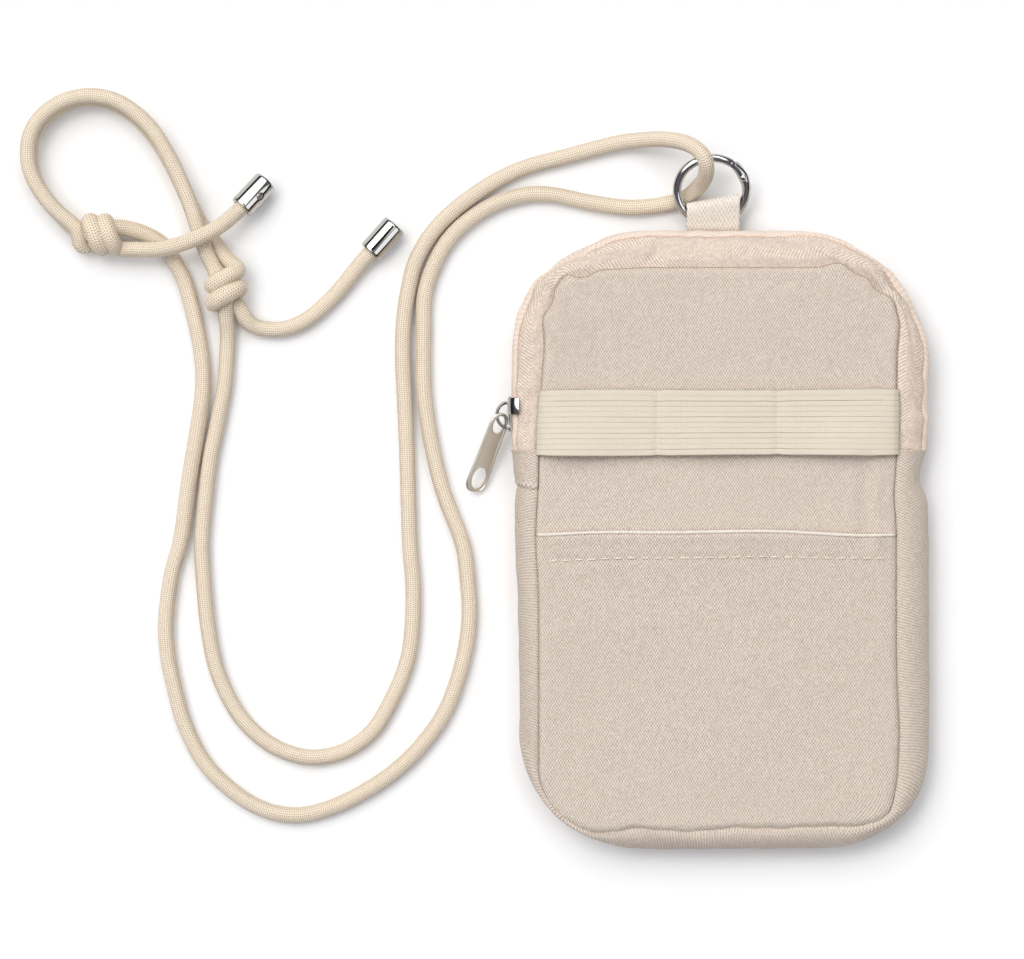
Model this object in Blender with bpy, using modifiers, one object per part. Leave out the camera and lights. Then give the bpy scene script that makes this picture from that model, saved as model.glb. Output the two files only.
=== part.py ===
"""Neck pouch wallet: a zipped canvas pouch on a braided neck cord.

The pouch lies on its back. The origin is the middle of the back panel's outer face, +X is to the
right, +Y towards the loop and ring, and +Z out of the front. Lengths are in metres, and the values
written with MM are in millimetres.
"""

import math

import bmesh
import bpy
from mathutils import Matrix, Vector

MM = 0.001
GAP = 0.3 * MM

# Pouch
SEAM_HALF_WIDTH = 57.2 * MM
SEAM_HALF_HEIGHT = 90.2 * MM
SEAM_RADIUS = 21.0 * MM
SIDE_BULGE = 9.0 * MM
BACK_THICKNESS = 1.4 * MM
PANEL_THICKNESS = 1.0 * MM
CLOTH = 0.8 * MM
BACK_SEAM_Z = 1.3 * MM
FRONT_SEAM_Z = 17.0 * MM
PANEL_INSET = 0.6 * MM
HINGE_Y = 26.25 * MM
HINGE_Z = 17.6 * MM
GUSSET_TOP_Y = 29.7 * MM
TAPE_END_Y = 30.0 * MM
POCKET_TOP_Y = 2.4 * MM
POCKET_THICKNESS = 0.8 * MM
ELASTIC_LOW_Y = 28.0 * MM
ELASTIC_HIGH_Y = 48.5 * MM
BINDING_RADIUS = 0.6 * MM
BINDING_INSET = 1.7 * MM
ARC_STEPS = 7

# Zip
COIL_RADIUS = 0.75 * MM
COIL_OUT = 8.7 * MM
COIL_SPREAD = 1.35 * MM
COIL_END_Y = 32.2 * MM
TAPE_EDGE_ANGLE = 18.6
SLIDER_LOW_Y = 35.6 * MM
SLIDER_HIGH_Y = 46.6 * MM
PULL_THICKNESS = 0.9 * MM
PULL_EYE = Vector((-70.8, 38.2, 9.3)) * MM
PULL_DROP = 16.0
PULL_ROLL = -33.0
BRIDGE_REACH = 3.2 * MM
BRIDGE_HALF = 3.9 * MM

# Ring and loop
RING_CENTRE = Vector((-3.1, 112.3, 9.0)) * MM
RING_RADIUS = 11.1 * MM
RING_WIRE = 1.4 * MM
RING_TILT = 25.0
GATE_HINGE_ANGLE = 26.0
GATE_TIP_ANGLE = 92.0

# Cord
CORD_RADIUS = 2.5 * MM
CAP_RADIUS = 4.0 * MM
CAP_BORE = 2.95 * MM
CAP_LENGTH = 11.9 * MM
CAP_BORE_DEPTH = 8.5 * MM
SCREW_RADIUS = 1.1 * MM

CANVAS = ("canvas", (0.70, 0.60, 0.51), 0.9, 0.0)
TAPE = ("zip_tape", (0.82, 0.71, 0.62), 0.85, 0.0)
COIL = ("zip_coil", (0.80, 0.66, 0.55), 0.5, 0.0)
ELASTIC = ("elastic", (0.78, 0.72, 0.59), 0.8, 0.0)
WEBBING = ("loop_tape", (0.80, 0.70, 0.60), 0.85, 0.0)
BINDING = ("binding", (0.76, 0.67, 0.57), 0.85, 0.0)
CORD = ("cord", (0.80, 0.69, 0.52), 0.8, 0.0)
NICKEL = ("nickel", (0.62, 0.60, 0.56), 0.25, 1.0)
CHROME = ("chrome", (0.80, 0.80, 0.80), 0.12, 1.0)
STEEL = ("steel", (0.55, 0.55, 0.55), 0.3, 1.0)

# The cord's route, in millimetres: from the right knot, through the ring, to the left knot.
MAIN_ROUTE = [
    (-157.9, 71.8, 5.2), (-157.5, 67.4, 3.4), (-157.7, 61.2, 2.5), (-158.6, 49.8, 2.5),
    (-160.8, 38.3, 2.5), (-163.1, 26.8, 2.5), (-164.5, 15.4, 2.5), (-165.8, 0.8, 2.5),
    (-165.4, -9.9, 2.5), (-163.7, -27.8, 2.5), (-160.5, -42.1, 2.5), (-154.0, -54.9, 2.5),
    (-145.4, -63.5, 2.5), (-136.2, -67.8, 2.5), (-128.3, -68.5, 2.5), (-119.7, -66.3, 2.5),
    (-111.1, -59.9, 2.5), (-104.7, -49.2, 2.5), (-100.4, -38.5, 2.5), (-98.6, -27.8, 2.5),
    (-98.3, -13.5, 2.5), (-99.4, 0.8, 2.5), (-100.3, 29.6, 2.5), (-101.0, 45.6, 2.5),
    (-101.6, 58.4, 2.5), (-101.4, 69.1, 2.5), (-100.0, 80.2, 2.5), (-97.0, 91.1, 2.5),
    (-89.7, 102.1, 2.5), (-77.2, 112.4, 2.5), (-63.9, 119.4, 2.5), (-49.2, 123.5, 2.5),
    (-33.8, 127.5, 3.2), (-25.8, 128.5, 5.4), (-20.0, 128.6, 8.6), (-15.2, 128.0, 12.2),
    (-10.8, 126.6, 16.2), (-7.1, 124.0, 18.8), (-5.5, 121.6, 19.0), (-5.0, 119.4, 17.8),
    (-5.1, 117.3, 15.0), (-5.6, 115.6, 11.2), (-6.7, 114.1, 7.6), (-8.8, 112.0, 4.4),
    (-11.3, 110.2, 2.7), (-14.1, 109.0, 2.5), (-16.9, 108.4, 2.5), (-22.6, 107.5, 2.5),
    (-30.6, 107.2, 2.5), (-41.9, 108.8, 2.5), (-54.4, 111.3, 2.5), (-63.9, 110.9, 2.5),
    (-74.2, 107.3, 2.5), (-84.5, 99.7, 2.5), (-90.6, 90.9, 2.5), (-94.4, 80.2, 2.5),
    (-95.0, 69.1, 2.5), (-94.6, 45.6, 2.5), (-89.8, 20.0, 2.5), (-82.9, 0.8, 2.5),
    (-81.1, -9.9, 2.5), (-80.4, -24.2, 2.5), (-82.6, -38.5, 2.5), (-87.6, -52.8, 2.5),
    (-94.7, -63.5, 2.5), (-104.0, -72.8, 2.5), (-114.7, -79.9, 2.5), (-125.4, -84.9, 2.5),
    (-136.2, -87.1, 2.5), (-146.8, -84.9, 2.5), (-156.1, -79.2, 2.5), (-164.7, -70.6, 2.5),
    (-171.1, -58.5, 2.5), (-174.7, -45.6, 2.5), (-176.8, -34.9, 2.5), (-177.2, -24.2, 2.5),
    (-175.4, -9.9, 2.5), (-172.5, 0.8, 2.5), (-170.1, 18.3, 2.5), (-167.8, 32.6, 2.5),
    (-166.0, 44.0, 2.5), (-165.4, 52.6, 2.5), (-166.0, 61.2, 2.5), (-168.3, 72.6, 2.5),
    (-171.3, 83.4, 2.5), (-174.2, 89.2, 2.5), (-177.6, 94.6, 2.5), (-182.6, 98.1, 3.2),
    (-187.9, 100.0, 4.8), (-191.4, 100.3, 6.0),
]
# The two strands round the far end of the loop, one on the other, from the left to the right knot.
UPPER_ROUTE = [
    (-206.6, 102.3, 6.9), (-210.9, 104.9, 7.4), (-215.8, 110.3, 7.7), (-219.3, 116.2, 7.8),
    (-221.0, 122.6, 7.8), (-220.3, 129.9, 7.8), (-216.8, 135.8, 7.8), (-210.9, 140.2, 7.8),
    (-205.1, 142.1, 7.8), (-199.2, 142.4, 7.8), (-193.3, 141.0, 7.8), (-187.4, 137.5, 7.8),
    (-181.6, 131.9, 7.8), (-177.1, 125.0, 7.8), (-172.7, 116.2, 7.8), (-169.3, 107.8, 7.8),
    (-166.6, 99.7, 6.9), (-164.8, 94.2, 5.9), (-163.8, 91.0, 6.0),
]
LOWER_ROUTE = [
    (-208.2, 99.9, 2.6), (-210.9, 103.9, 2.5), (-215.5, 109.7, 2.5), (-219.0, 115.9, 2.5),
    (-220.5, 122.6, 2.5), (-219.8, 129.6, 2.5), (-216.4, 135.3, 2.5), (-210.5, 139.6, 2.5),
    (-204.9, 141.5, 2.5), (-199.4, 141.8, 2.5), (-193.6, 140.3, 2.5), (-187.9, 136.9, 2.5),
    (-182.2, 131.2, 2.5), (-177.6, 124.5, 2.5), (-173.1, 115.9, 2.5), (-169.2, 107.5, 2.5),
    (-164.6, 100.4, 2.5), (-160.8, 95.6, 2.9), (-158.2, 90.9, 5.0),
]
LEFT_TAIL_ROUTE = [
    (-192.4, 94.6, 6.0), (-189.0, 94.1, 6.6), (-181.6, 93.4, 8.0), (-176.2, 94.0, 9.6),
    (-170.7, 95.5, 11.5), (-165.6, 97.6, 12.6), (-160.5, 100.1, 11.6), (-156.1, 103.8, 8.9),
    (-153.0, 106.8, 7.0),
]
RIGHT_TAIL_ROUTE = [
    (-152.6, 71.6, 4.6), (-150.6, 70.0, 3.6), (-146.7, 68.4, 2.7), (-141.3, 68.1, 2.5),
    (-135.7, 69.5, 2.5), (-130.2, 72.8, 2.5), (-124.7, 77.8, 2.5), (-120.3, 82.7, 2.6),
    (-115.9, 88.2, 3.2), (-111.9, 92.7, 4.1),
]
LEFT_CAP_MOUTH = Vector((-153.0, 106.8, 7.0)) * MM
LEFT_CAP_END = Vector((-145.2, 115.4, 4.6)) * MM
RIGHT_CAP_MOUTH = Vector((-111.9, 92.7, 4.2)) * MM
RIGHT_CAP_END = Vector((-104.1, 101.5, 4.2)) * MM
LEFT_KNOT = (Vector((-199.4, 98.4, 6.4)) * MM, Vector((6.4, 7.3, 6.2)) * MM)
RIGHT_KNOT = (Vector((-158.1, 80.8, 6.4)) * MM, Vector((7.3, 7.4, 6.2)) * MM)


# ---------------------------------------------------------------- helpers


def start():
    """Clear the scene and make the collections for the parts and the cutters."""
    for obj in list(bpy.data.objects):
        bpy.data.objects.remove(obj, do_unlink=True)
    parts = bpy.data.collections.new("neck_pouch_wallet")
    cutters = bpy.data.collections.new("cutters")
    bpy.context.scene.collection.children.link(parts)
    bpy.context.scene.collection.children.link(cutters)
    return parts, cutters


def material(spec):
    name, colour, roughness, metallic = spec
    found = bpy.data.materials.get(name)
    if found:
        return found
    made = bpy.data.materials.new(name)
    made.use_nodes = True
    shader = made.node_tree.nodes["Principled BSDF"]
    shader.inputs["Base Color"].default_value = (*colour, 1.0)
    shader.inputs["Roughness"].default_value = roughness
    shader.inputs["Metallic"].default_value = metallic
    made.diffuse_color = (*colour, 1.0)
    return made


def place(name, data, spec, collection=None):
    obj = bpy.data.objects.new(name, data)
    (collection or PARTS).objects.link(obj)
    data.materials.append(material(spec))
    return obj


def place_bmesh(name, shape, spec, collection=None):
    mesh = bpy.data.meshes.new(name)
    shape.to_mesh(mesh)
    shape.free()
    return place(name, mesh, spec, collection)


def cutter(obj):
    obj.hide_render = True
    obj.display_type = "WIRE"
    return obj


def cut(obj, tool, operation="DIFFERENCE"):
    change = obj.modifiers.new(operation.lower(), "BOOLEAN")
    change.operation = operation
    change.object = tool
    change.solver = "EXACT"


def tube(name, points, radius, spec, resolution=3, closed=False):
    """A round wire or cord along the points."""
    curve = bpy.data.curves.new(name, "CURVE")
    curve.dimensions = "3D"
    curve.bevel_depth = radius
    curve.bevel_resolution = resolution
    curve.use_fill_caps = not closed
    line = curve.splines.new("POLY")
    line.points.add(len(points) - 1)
    for point, at in zip(line.points, points):
        point.co = (*at, 1.0)
    line.use_cyclic_u = closed
    return place(name, curve, spec)


def plate(name, outlines, thickness, spec, matrix, collection=None):
    """A flat plate from closed outlines in its own XY plane. Outlines inside the first are holes."""
    curve = bpy.data.curves.new(name, "CURVE")
    curve.dimensions = "2D"
    curve.fill_mode = "BOTH"
    curve.extrude = thickness / 2
    for outline in outlines:
        line = curve.splines.new("POLY")
        line.points.add(len(outline) - 1)
        for point, (x, y) in zip(line.points, outline):
            point.co = (x, y, 0.0, 1.0)
        line.use_cyclic_u = True
    obj = place(name, curve, spec, collection)
    obj.matrix_world = matrix
    return obj


def as_mesh(obj):
    """Turn a curve object into a mesh object of the same name and place."""
    bpy.context.view_layer.update()
    graph = bpy.context.evaluated_depsgraph_get()
    mesh = bpy.data.meshes.new_from_object(obj.evaluated_get(graph))
    shape = bmesh.new()
    shape.from_mesh(mesh)
    bmesh.ops.remove_doubles(shape, verts=shape.verts, dist=1e-6)
    bmesh.ops.recalc_face_normals(shape, faces=shape.faces)
    shape.to_mesh(mesh)
    shape.free()
    name, matrix, group = obj.name, obj.matrix_world.copy(), obj.users_collection[0]
    bpy.data.objects.remove(obj)
    made = bpy.data.objects.new(name, mesh)
    group.objects.link(made)
    made.matrix_world = matrix
    return made


def rod(name, centre, axis, radius, length, spec, sides=24, collection=None):
    """A cylinder centred on a point, along an axis."""
    shape = bmesh.new()
    turn = Vector(axis).to_track_quat("Z", "Y").to_matrix().to_4x4()
    bmesh.ops.create_cone(
        shape, cap_ends=True, segments=sides, radius1=radius, radius2=radius, depth=length,
        matrix=Matrix.Translation(centre) @ turn,
    )
    return place_bmesh(name, shape, spec, collection)


def block(name, low, high, spec, collection=None, bevel=0.0):
    """A box between two corners, with rounded edges where bevel is set."""
    low, high = Vector(low), Vector(high)
    shape = bmesh.new()
    bmesh.ops.create_cube(shape, size=1.0)
    bmesh.ops.scale(shape, vec=high - low, verts=shape.verts)
    bmesh.ops.translate(shape, vec=(low + high) / 2, verts=shape.verts)
    obj = place_bmesh(name, shape, spec, collection)
    if bevel:
        edge = obj.modifiers.new("bevel", "BEVEL")
        edge.width = bevel
        edge.segments = 2
    return obj


def arc(centre, radius, start_angle, end_angle, steps):
    """Points on a circle, and the outward direction at each."""
    found = []
    for i in range(steps + 1):
        angle = math.radians(start_angle + (end_angle - start_angle) * i / steps)
        out = Vector((math.cos(angle), math.sin(angle)))
        found.append((Vector(centre) + radius * out, out))
    return found


def seam_run(end_y, side):
    """The seam line round the bottom (side -1) or the top (side 1), from left to right."""
    across = SEAM_HALF_WIDTH - SEAM_RADIUS
    along = side * (SEAM_HALF_HEIGHT - SEAM_RADIUS)
    left = arc((-across, along), SEAM_RADIUS, 180, 180 - side * 90, ARC_STEPS)
    right = arc((across, along), SEAM_RADIUS, side * 90, 0, ARC_STEPS)
    first = (Vector((-SEAM_HALF_WIDTH, end_y)), Vector((-1, 0)))
    last = (Vector((SEAM_HALF_WIDTH, end_y)), Vector((1, 0)))
    return [first, *left, *right, last]


def panel_outline(low_y, high_y, inset):
    """The front or back panel's outline, cut straight at low_y or high_y where these are given."""
    lower = [p - inset * n for p, n in seam_run(0, -1)[1:-1]]
    upper = [p - inset * n for p, n in seam_run(0, 1)[1:-1]]
    edge = SEAM_HALF_WIDTH - inset
    bottom = lower if low_y is None else [Vector((-edge, low_y)), Vector((edge, low_y))]
    top = upper if high_y is None else [Vector((-edge, high_y)), Vector((edge, high_y))]
    return bottom + top[::-1]


def sewn_strip(name, run, profile, thickness, spec):
    """A cloth strip along a seam run. The profile lists (outward, z) pairs."""
    shape = bmesh.new()
    rows = []
    for point, out in run:
        row = []
        for outward, z in profile:
            at = point + outward * out
            row.append(shape.verts.new((at.x, at.y, z)))
        rows.append(row)
    for first, second in zip(rows, rows[1:]):
        for i in range(len(profile) - 1):
            shape.faces.new((first[i], first[i + 1], second[i + 1], second[i]))
    obj = place_bmesh(name, shape, spec)
    solid = obj.modifiers.new("cloth", "SOLIDIFY")
    solid.thickness = thickness
    solid.offset = 0.0
    return obj


def side_profile(high_angle, low_angle, steps):
    """The bulging side between the front and back seams, by angle from the middle height."""
    middle = (FRONT_SEAM_Z + BACK_SEAM_Z) / 2
    rise = (FRONT_SEAM_Z - BACK_SEAM_Z) / 2
    found = []
    for i in range(steps + 1):
        angle = math.radians(high_angle + (low_angle - high_angle) * i / steps)
        found.append((SIDE_BULGE * math.cos(angle), middle + rise * math.sin(angle)))
    return found


def lifted(run, outward, z):
    return [(p.x + outward * n.x, p.y + outward * n.y, z) for p, n in run]


def smooth(route, close, far):
    """Points along a smooth curve through a route in millimetres, closer where it leaves the floor."""
    route = [Vector(p) * MM for p in route]
    ends = [2 * route[0] - route[1], *route, 2 * route[-1] - route[-2]]
    fine = []
    for a, b, c, d in zip(ends, ends[1:], ends[2:], ends[3:]):
        for i in range(8):
            t = i / 8
            fine.append(0.5 * (
                2 * b + (c - a) * t + (2 * a - 5 * b + 4 * c - d) * t * t
                + (3 * b - a - 3 * c + d) * t ** 3
            ))
    fine.append(route[-1])
    for point in fine:
        point.z = max(point.z, CORD_RADIUS)
    kept, since = [fine[0]], 0.0
    for before, here in zip(fine, fine[1:]):
        since += (here - before).length
        if since >= (close if here.z > 1.2 * CORD_RADIUS else far):
            kept.append(here)
            since = 0.0
    if (kept[-1] - fine[-1]).length < 0.5 * close:
        kept.pop()
    kept.append(fine[-1])
    return kept


# ---------------------------------------------------------------- pouch


def make_panels():
    flat = Matrix.Translation
    plate("back_panel", [panel_outline(None, None, PANEL_INSET)], BACK_THICKNESS, CANVAS,
          flat((0, 0, BACK_THICKNESS / 2)))
    top = HINGE_Z - PANEL_THICKNESS / 2
    plate("front_panel_lower", [panel_outline(None, HINGE_Y - GAP / 2, PANEL_INSET)],
          PANEL_THICKNESS, CANVAS, flat((0, 0, top)))
    plate("front_panel_upper", [panel_outline(HINGE_Y + GAP / 2, None, PANEL_INSET)],
          PANEL_THICKNESS, CANVAS, flat((0, 0, top)))
    pocket_z = HINGE_Z + GAP + POCKET_THICKNESS / 2
    plate("pocket_panel", [panel_outline(None, POCKET_TOP_Y, PANEL_INSET)], POCKET_THICKNESS,
          CANVAS, flat((0, 0, pocket_z)))
    edge = SEAM_HALF_WIDTH
    block("elastic_band", (-edge, ELASTIC_LOW_Y, HINGE_Z + GAP),
          (edge, ELASTIC_HIGH_Y, HINGE_Z + GAP + PANEL_THICKNESS), ELASTIC)


def make_sides():
    sewn_strip("lower_gusset", seam_run(GUSSET_TOP_Y, -1), side_profile(90, -90, 10), CLOTH, CANVAS)
    upper = seam_run(TAPE_END_Y, 1)
    front = side_profile(90, TAPE_EDGE_ANGLE, 5)
    back = side_profile(-TAPE_EDGE_ANGLE, -90, 5)
    sewn_strip("zipper_tape_front", upper, front, CLOTH, TAPE)
    sewn_strip("zipper_tape_back", upper, back, CLOTH, TAPE)


def make_bindings():
    """Narrow bindings over the raw seam edges, inside the pouch."""
    front_z = FRONT_SEAM_Z - 1.6 * MM
    back_z = BACK_SEAM_Z + 1.3 * MM
    lower = seam_run(HINGE_Y - 2 * GAP, -1)
    upper = seam_run(HINGE_Y + 2 * GAP, 1)
    tube("binding_front_lower", lifted(lower, -BINDING_INSET, front_z), BINDING_RADIUS, BINDING, 2)
    tube("binding_front_upper", lifted(upper, -BINDING_INSET, front_z), BINDING_RADIUS, BINDING, 2)
    whole = seam_run(0, -1)[1:-1] + seam_run(0, 1)[1:-1][::-1]
    tube("binding_back", lifted(whole, -BINDING_INSET, back_z), BINDING_RADIUS, BINDING, 2, True)


def make_zip():
    middle = (FRONT_SEAM_Z + BACK_SEAM_Z) / 2
    run = seam_run(COIL_END_Y, 1)
    tube("zipper_coil_front", lifted(run, COIL_OUT, middle + COIL_SPREAD), COIL_RADIUS, COIL, 2)
    tube("zipper_coil_back", lifted(run, COIL_OUT, middle - COIL_SPREAD), COIL_RADIUS, COIL, 2)
    chain_x = SEAM_HALF_WIDTH + COIL_OUT
    for name, side in (("zipper_stop_left", -1), ("zipper_stop_right", 1)):
        inner, outer = side * (chain_x - 0.8 * MM), side * (chain_x + 0.8 * MM)
        block(name, (min(inner, outer), TAPE_END_Y + GAP, middle - 2.0 * MM),
              (max(inner, outer), COIL_END_Y - GAP, middle + 1.9 * MM), NICKEL, None, 0.2 * MM)


def make_slider():
    """Two plates either side of the chain, joined at the nose by a post between the coils."""
    middle = (FRONT_SEAM_Z + BACK_SEAM_Z) / 2
    chain_x = -(SEAM_HALF_WIDTH + COIL_OUT)
    outer_low, outer_high = chain_x - 1.85 * MM, chain_x - 1.05 * MM
    inner_low, inner_high = chain_x + 1.2 * MM, chain_x + 2.1 * MM
    slider = block("zipper_slider", (outer_low, SLIDER_LOW_Y, middle - 3.3 * MM),
                   (outer_high, SLIDER_HIGH_Y, middle + 3.3 * MM), NICKEL)
    inner = block("slider_inner", (inner_low, SLIDER_LOW_Y, middle - 2.6 * MM),
                  (inner_high, SLIDER_HIGH_Y, middle + 2.6 * MM), NICKEL, CUTTERS)
    post = block("slider_post", (outer_low + 0.5 * MM, SLIDER_HIGH_Y - 2.8 * MM, middle - GAP),
                 (inner_high - 0.4 * MM, SLIDER_HIGH_Y - 0.6 * MM, middle + GAP), NICKEL, CUTTERS)
    cut(slider, cutter(inner), "UNION")
    cut(slider, cutter(post), "UNION")
    wire = []
    centre = Vector((outer_low - 0.55 * MM, 40.7 * MM, middle))
    for i in range(13):
        angle = math.radians(90 + 15 * i)
        wire.append(centre + Vector((BRIDGE_REACH * math.cos(angle), BRIDGE_HALF * math.sin(angle), 0)))
    wire = [wire[0] + Vector((GAP, 0, 0))] + wire[1:-1] + [wire[-1] + Vector((GAP, 0, 0))]
    tube("slider_bridge", wire, 0.45 * MM, NICKEL, 3)


def oval(centre_y, half_width, half_length, steps):
    found = []
    for i in range(steps):
        angle = 2 * math.pi * i / steps
        found.append((half_width * math.cos(angle), centre_y + half_length * math.sin(angle)))
    return found


def pull_matrix():
    """The pull tab's own frame: +Y along it from the eye to the tip, +Z out of its face."""
    heading = Vector((-0.353, -0.936, 0.0)).normalized()
    along = (heading * math.cos(math.radians(PULL_DROP)) - Vector((0, 0, 1)) * math.sin(
        math.radians(PULL_DROP))).normalized()
    across = along.cross(Vector((0, 0, 1))).normalized()
    face = across.cross(along)
    turn = Matrix((across, along, face)).transposed()
    roll = Matrix.Rotation(math.radians(PULL_ROLL), 3, "Y")
    return Matrix.Translation(PULL_EYE) @ (turn @ roll).to_4x4()


def make_pull():
    outline = []
    lower_end = ((-2.9, -0.4), (-2.1, -2.5), (0.0, -3.3), (2.1, -2.5), (2.9, -0.4))
    outline += [(x * MM, y * MM) for x, y in lower_end]
    for i in range(9):
        angle = math.radians(180 * i / 8)
        outline.append((3.5 * MM * math.cos(angle), 21.0 * MM + 3.3 * MM * math.sin(angle)))
    eye = oval(0.7 * MM, 2.05 * MM, 3.0 * MM, 16)
    hole = oval(19.4 * MM, 2.4 * MM, 3.7 * MM, 16)
    plate("pull_tab", [outline, eye, hole], PULL_THICKNESS, NICKEL, pull_matrix())


# ---------------------------------------------------------------- ring and loop


def ring_frame():
    """The ring's frame: its XY plane holds the ring, tilted up towards +Y."""
    return Matrix.Translation(RING_CENTRE) @ Matrix.Rotation(math.radians(RING_TILT), 4, "X")


def ring_point(angle, radius=None):
    r = RING_RADIUS if radius is None else radius
    a = math.radians(angle)
    return Vector((r * math.cos(a), r * math.sin(a), 0))


def ring_tube(name, start_angle, end_angle, steps, spec):
    points = []
    for i in range(steps + 1):
        points.append(ring_frame() @ ring_point(start_angle + (end_angle - start_angle) * i / steps))
    return as_mesh(tube(name, points, RING_WIRE, spec, 3))


def end_block(name, point, direction):
    """A cube that trims a ring end square to a direction, starting at the point."""
    shape = bmesh.new()
    bmesh.ops.create_cube(shape, size=7 * MM)
    turn = direction.to_track_quat("Z", "Y").to_matrix().to_4x4()
    obj = place_bmesh(name, shape, CHROME, CUTTERS)
    obj.matrix_world = Matrix.Translation(point + direction * 3.5 * MM) @ turn
    return cutter(obj)


def make_ring():
    """The ring's body with its fork, the gate between the fork and the body's free end, the pin."""
    frame = ring_frame()
    normal = frame.to_3x3() @ Vector((0, 0, 1))
    pin = frame @ ring_point(GATE_HINGE_ANGLE)
    tip = frame @ ring_point(GATE_TIP_ANGLE)
    chord = (tip - pin).normalized()
    neck_angle = GATE_HINGE_ANGLE - 10
    body = ring_tube("ring_body", GATE_TIP_ANGLE - 6, 360 + neck_angle, 30, CHROME)
    cut(body, end_block("body_end", tip + chord * GAP, -chord))
    for side in (-1, 1):
        offset = normal * side * 1.3 * MM
        cheek = rod(f"cheek_{side + 1}", pin + offset, normal, 1.6 * MM, 0.6 * MM, CHROME, 20, CUTTERS)
        cut(body, cutter(cheek), "UNION")
        reach = frame @ ring_point(neck_angle - 3)
        along = (pin - reach).normalized()
        arm = block(f"arm_{side + 1}", (-1.1 * MM, -0.3 * MM, 0), (1.1 * MM, 0.3 * MM, (pin - reach).length),
                    CHROME, CUTTERS)
        turn = Matrix((normal.cross(along), normal, along)).transposed().to_4x4()
        arm.matrix_world = Matrix.Translation(reach + offset) @ turn
        cut(body, cutter(arm), "UNION")
    hole = cutter(rod("pin_hole", pin, normal, 0.75 * MM, 6 * MM, CHROME, 20, CUTTERS))
    cut(body, hole)
    seat = frame @ ring_point(neck_angle)
    inward = frame.to_3x3() @ ring_point(neck_angle - 90, 1.0)
    bore = rod("spring_bore", seat, inward, 0.65 * MM, 7 * MM, CHROME, 16, CUTTERS)
    cut(body, cutter(bore))
    rod("gate_spring", seat + inward * 1.4 * MM, inward, 0.3 * MM, 3.2 * MM, STEEL, 12)
    gate = ring_tube("ring_gate", GATE_HINGE_ANGLE + 12, GATE_TIP_ANGLE + 6, 10, CHROME)
    cut(gate, end_block("gate_end", tip, chord))
    tongue = rod("tongue", pin, normal, 1.3 * MM, 1.3 * MM, CHROME, 20, CUTTERS)
    reach = frame @ ring_point(GATE_HINGE_ANGLE + 14)
    neck = rod("neck", (pin + reach) / 2, reach - pin, 0.64 * MM, (reach - pin).length,
               CHROME, 12, CUTTERS)
    cut(gate, cutter(tongue), "UNION")
    cut(gate, cutter(neck), "UNION")
    cut(gate, hole)
    rod("ring_rivet", pin, normal, 0.6 * MM, 3.9 * MM, CHROME, 16)


def make_loop():
    """A cloth strip folded round the ring's lower arc, its two ends sewn at the pouch's top."""
    frame = ring_frame()
    shape = bmesh.new()
    columns = []
    half_gap = 2.05 * MM
    for across, fold in ((-7.9 * MM, -6.85 * MM), (9.0 * MM, -3.6 * MM)):
        x = RING_CENTRE.x + across
        column = [(x, 94.8 * MM, 0.65 * MM), (x, 98.2 * MM, 0.8 * MM)]
        for along in (-13.2 * MM, -10.0 * MM, fold):
            column.append(frame @ Vector((across, along, -half_gap)))
        for i in range(1, 6):
            angle = math.radians(-90 + 30 * i)
            tip = Vector((across, fold + half_gap * math.cos(angle), half_gap * math.sin(angle)))
            column.append(frame @ tip)
        for along in (fold, -10.0 * MM, -12.6 * MM):
            column.append(frame @ Vector((across, along, half_gap)))
        column += [(x, 98.6 * MM, 3.3 * MM), (x, 97.6 * MM, 2.0 * MM), (x, 96.2 * MM, 1.75 * MM)]
        columns.append([shape.verts.new(point) for point in column])
    left, right = columns
    for i in range(len(left) - 1):
        shape.faces.new((left[i], right[i], right[i + 1], left[i + 1]))
    obj = place_bmesh("loop_tab", shape, WEBBING)
    solid = obj.modifiers.new("cloth", "SOLIDIFY")
    solid.thickness = 0.6 * MM
    solid.offset = 0.0


# ---------------------------------------------------------------- cord


def make_cord():
    """The cord in the stretches between the knots, each a round tube, and the two knots."""
    close, far = 5 * MM, 14 * MM
    tube("cord_main", smooth(MAIN_ROUTE, close, far), CORD_RADIUS, CORD, 2)
    tube("cord_loop_upper", smooth(UPPER_ROUTE, 8 * MM, far), CORD_RADIUS, CORD, 2)
    tube("cord_loop_lower", smooth(LOWER_ROUTE, close, 8 * MM), CORD_RADIUS, CORD, 2)
    ends = (("left", LEFT_TAIL_ROUTE, LEFT_CAP_MOUTH, LEFT_CAP_END),
            ("right", RIGHT_TAIL_ROUTE, RIGHT_CAP_MOUTH, RIGHT_CAP_END))
    for side, route, mouth, end in ends:
        inside = mouth + (end - mouth).normalized() * 0.8 * CAP_BORE_DEPTH
        points = smooth(route, close, far) + [inside]
        tube(f"cord_tail_{side}", points, CORD_RADIUS, CORD, 2)
    for name, (centre, radii) in (("knot_left", LEFT_KNOT), ("knot_right", RIGHT_KNOT)):
        shape = bmesh.new()
        bmesh.ops.create_uvsphere(shape, u_segments=20, v_segments=12, radius=1.0)
        bmesh.ops.scale(shape, vec=radii, verts=shape.verts)
        place_bmesh(name, shape, CORD).location = centre


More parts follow.
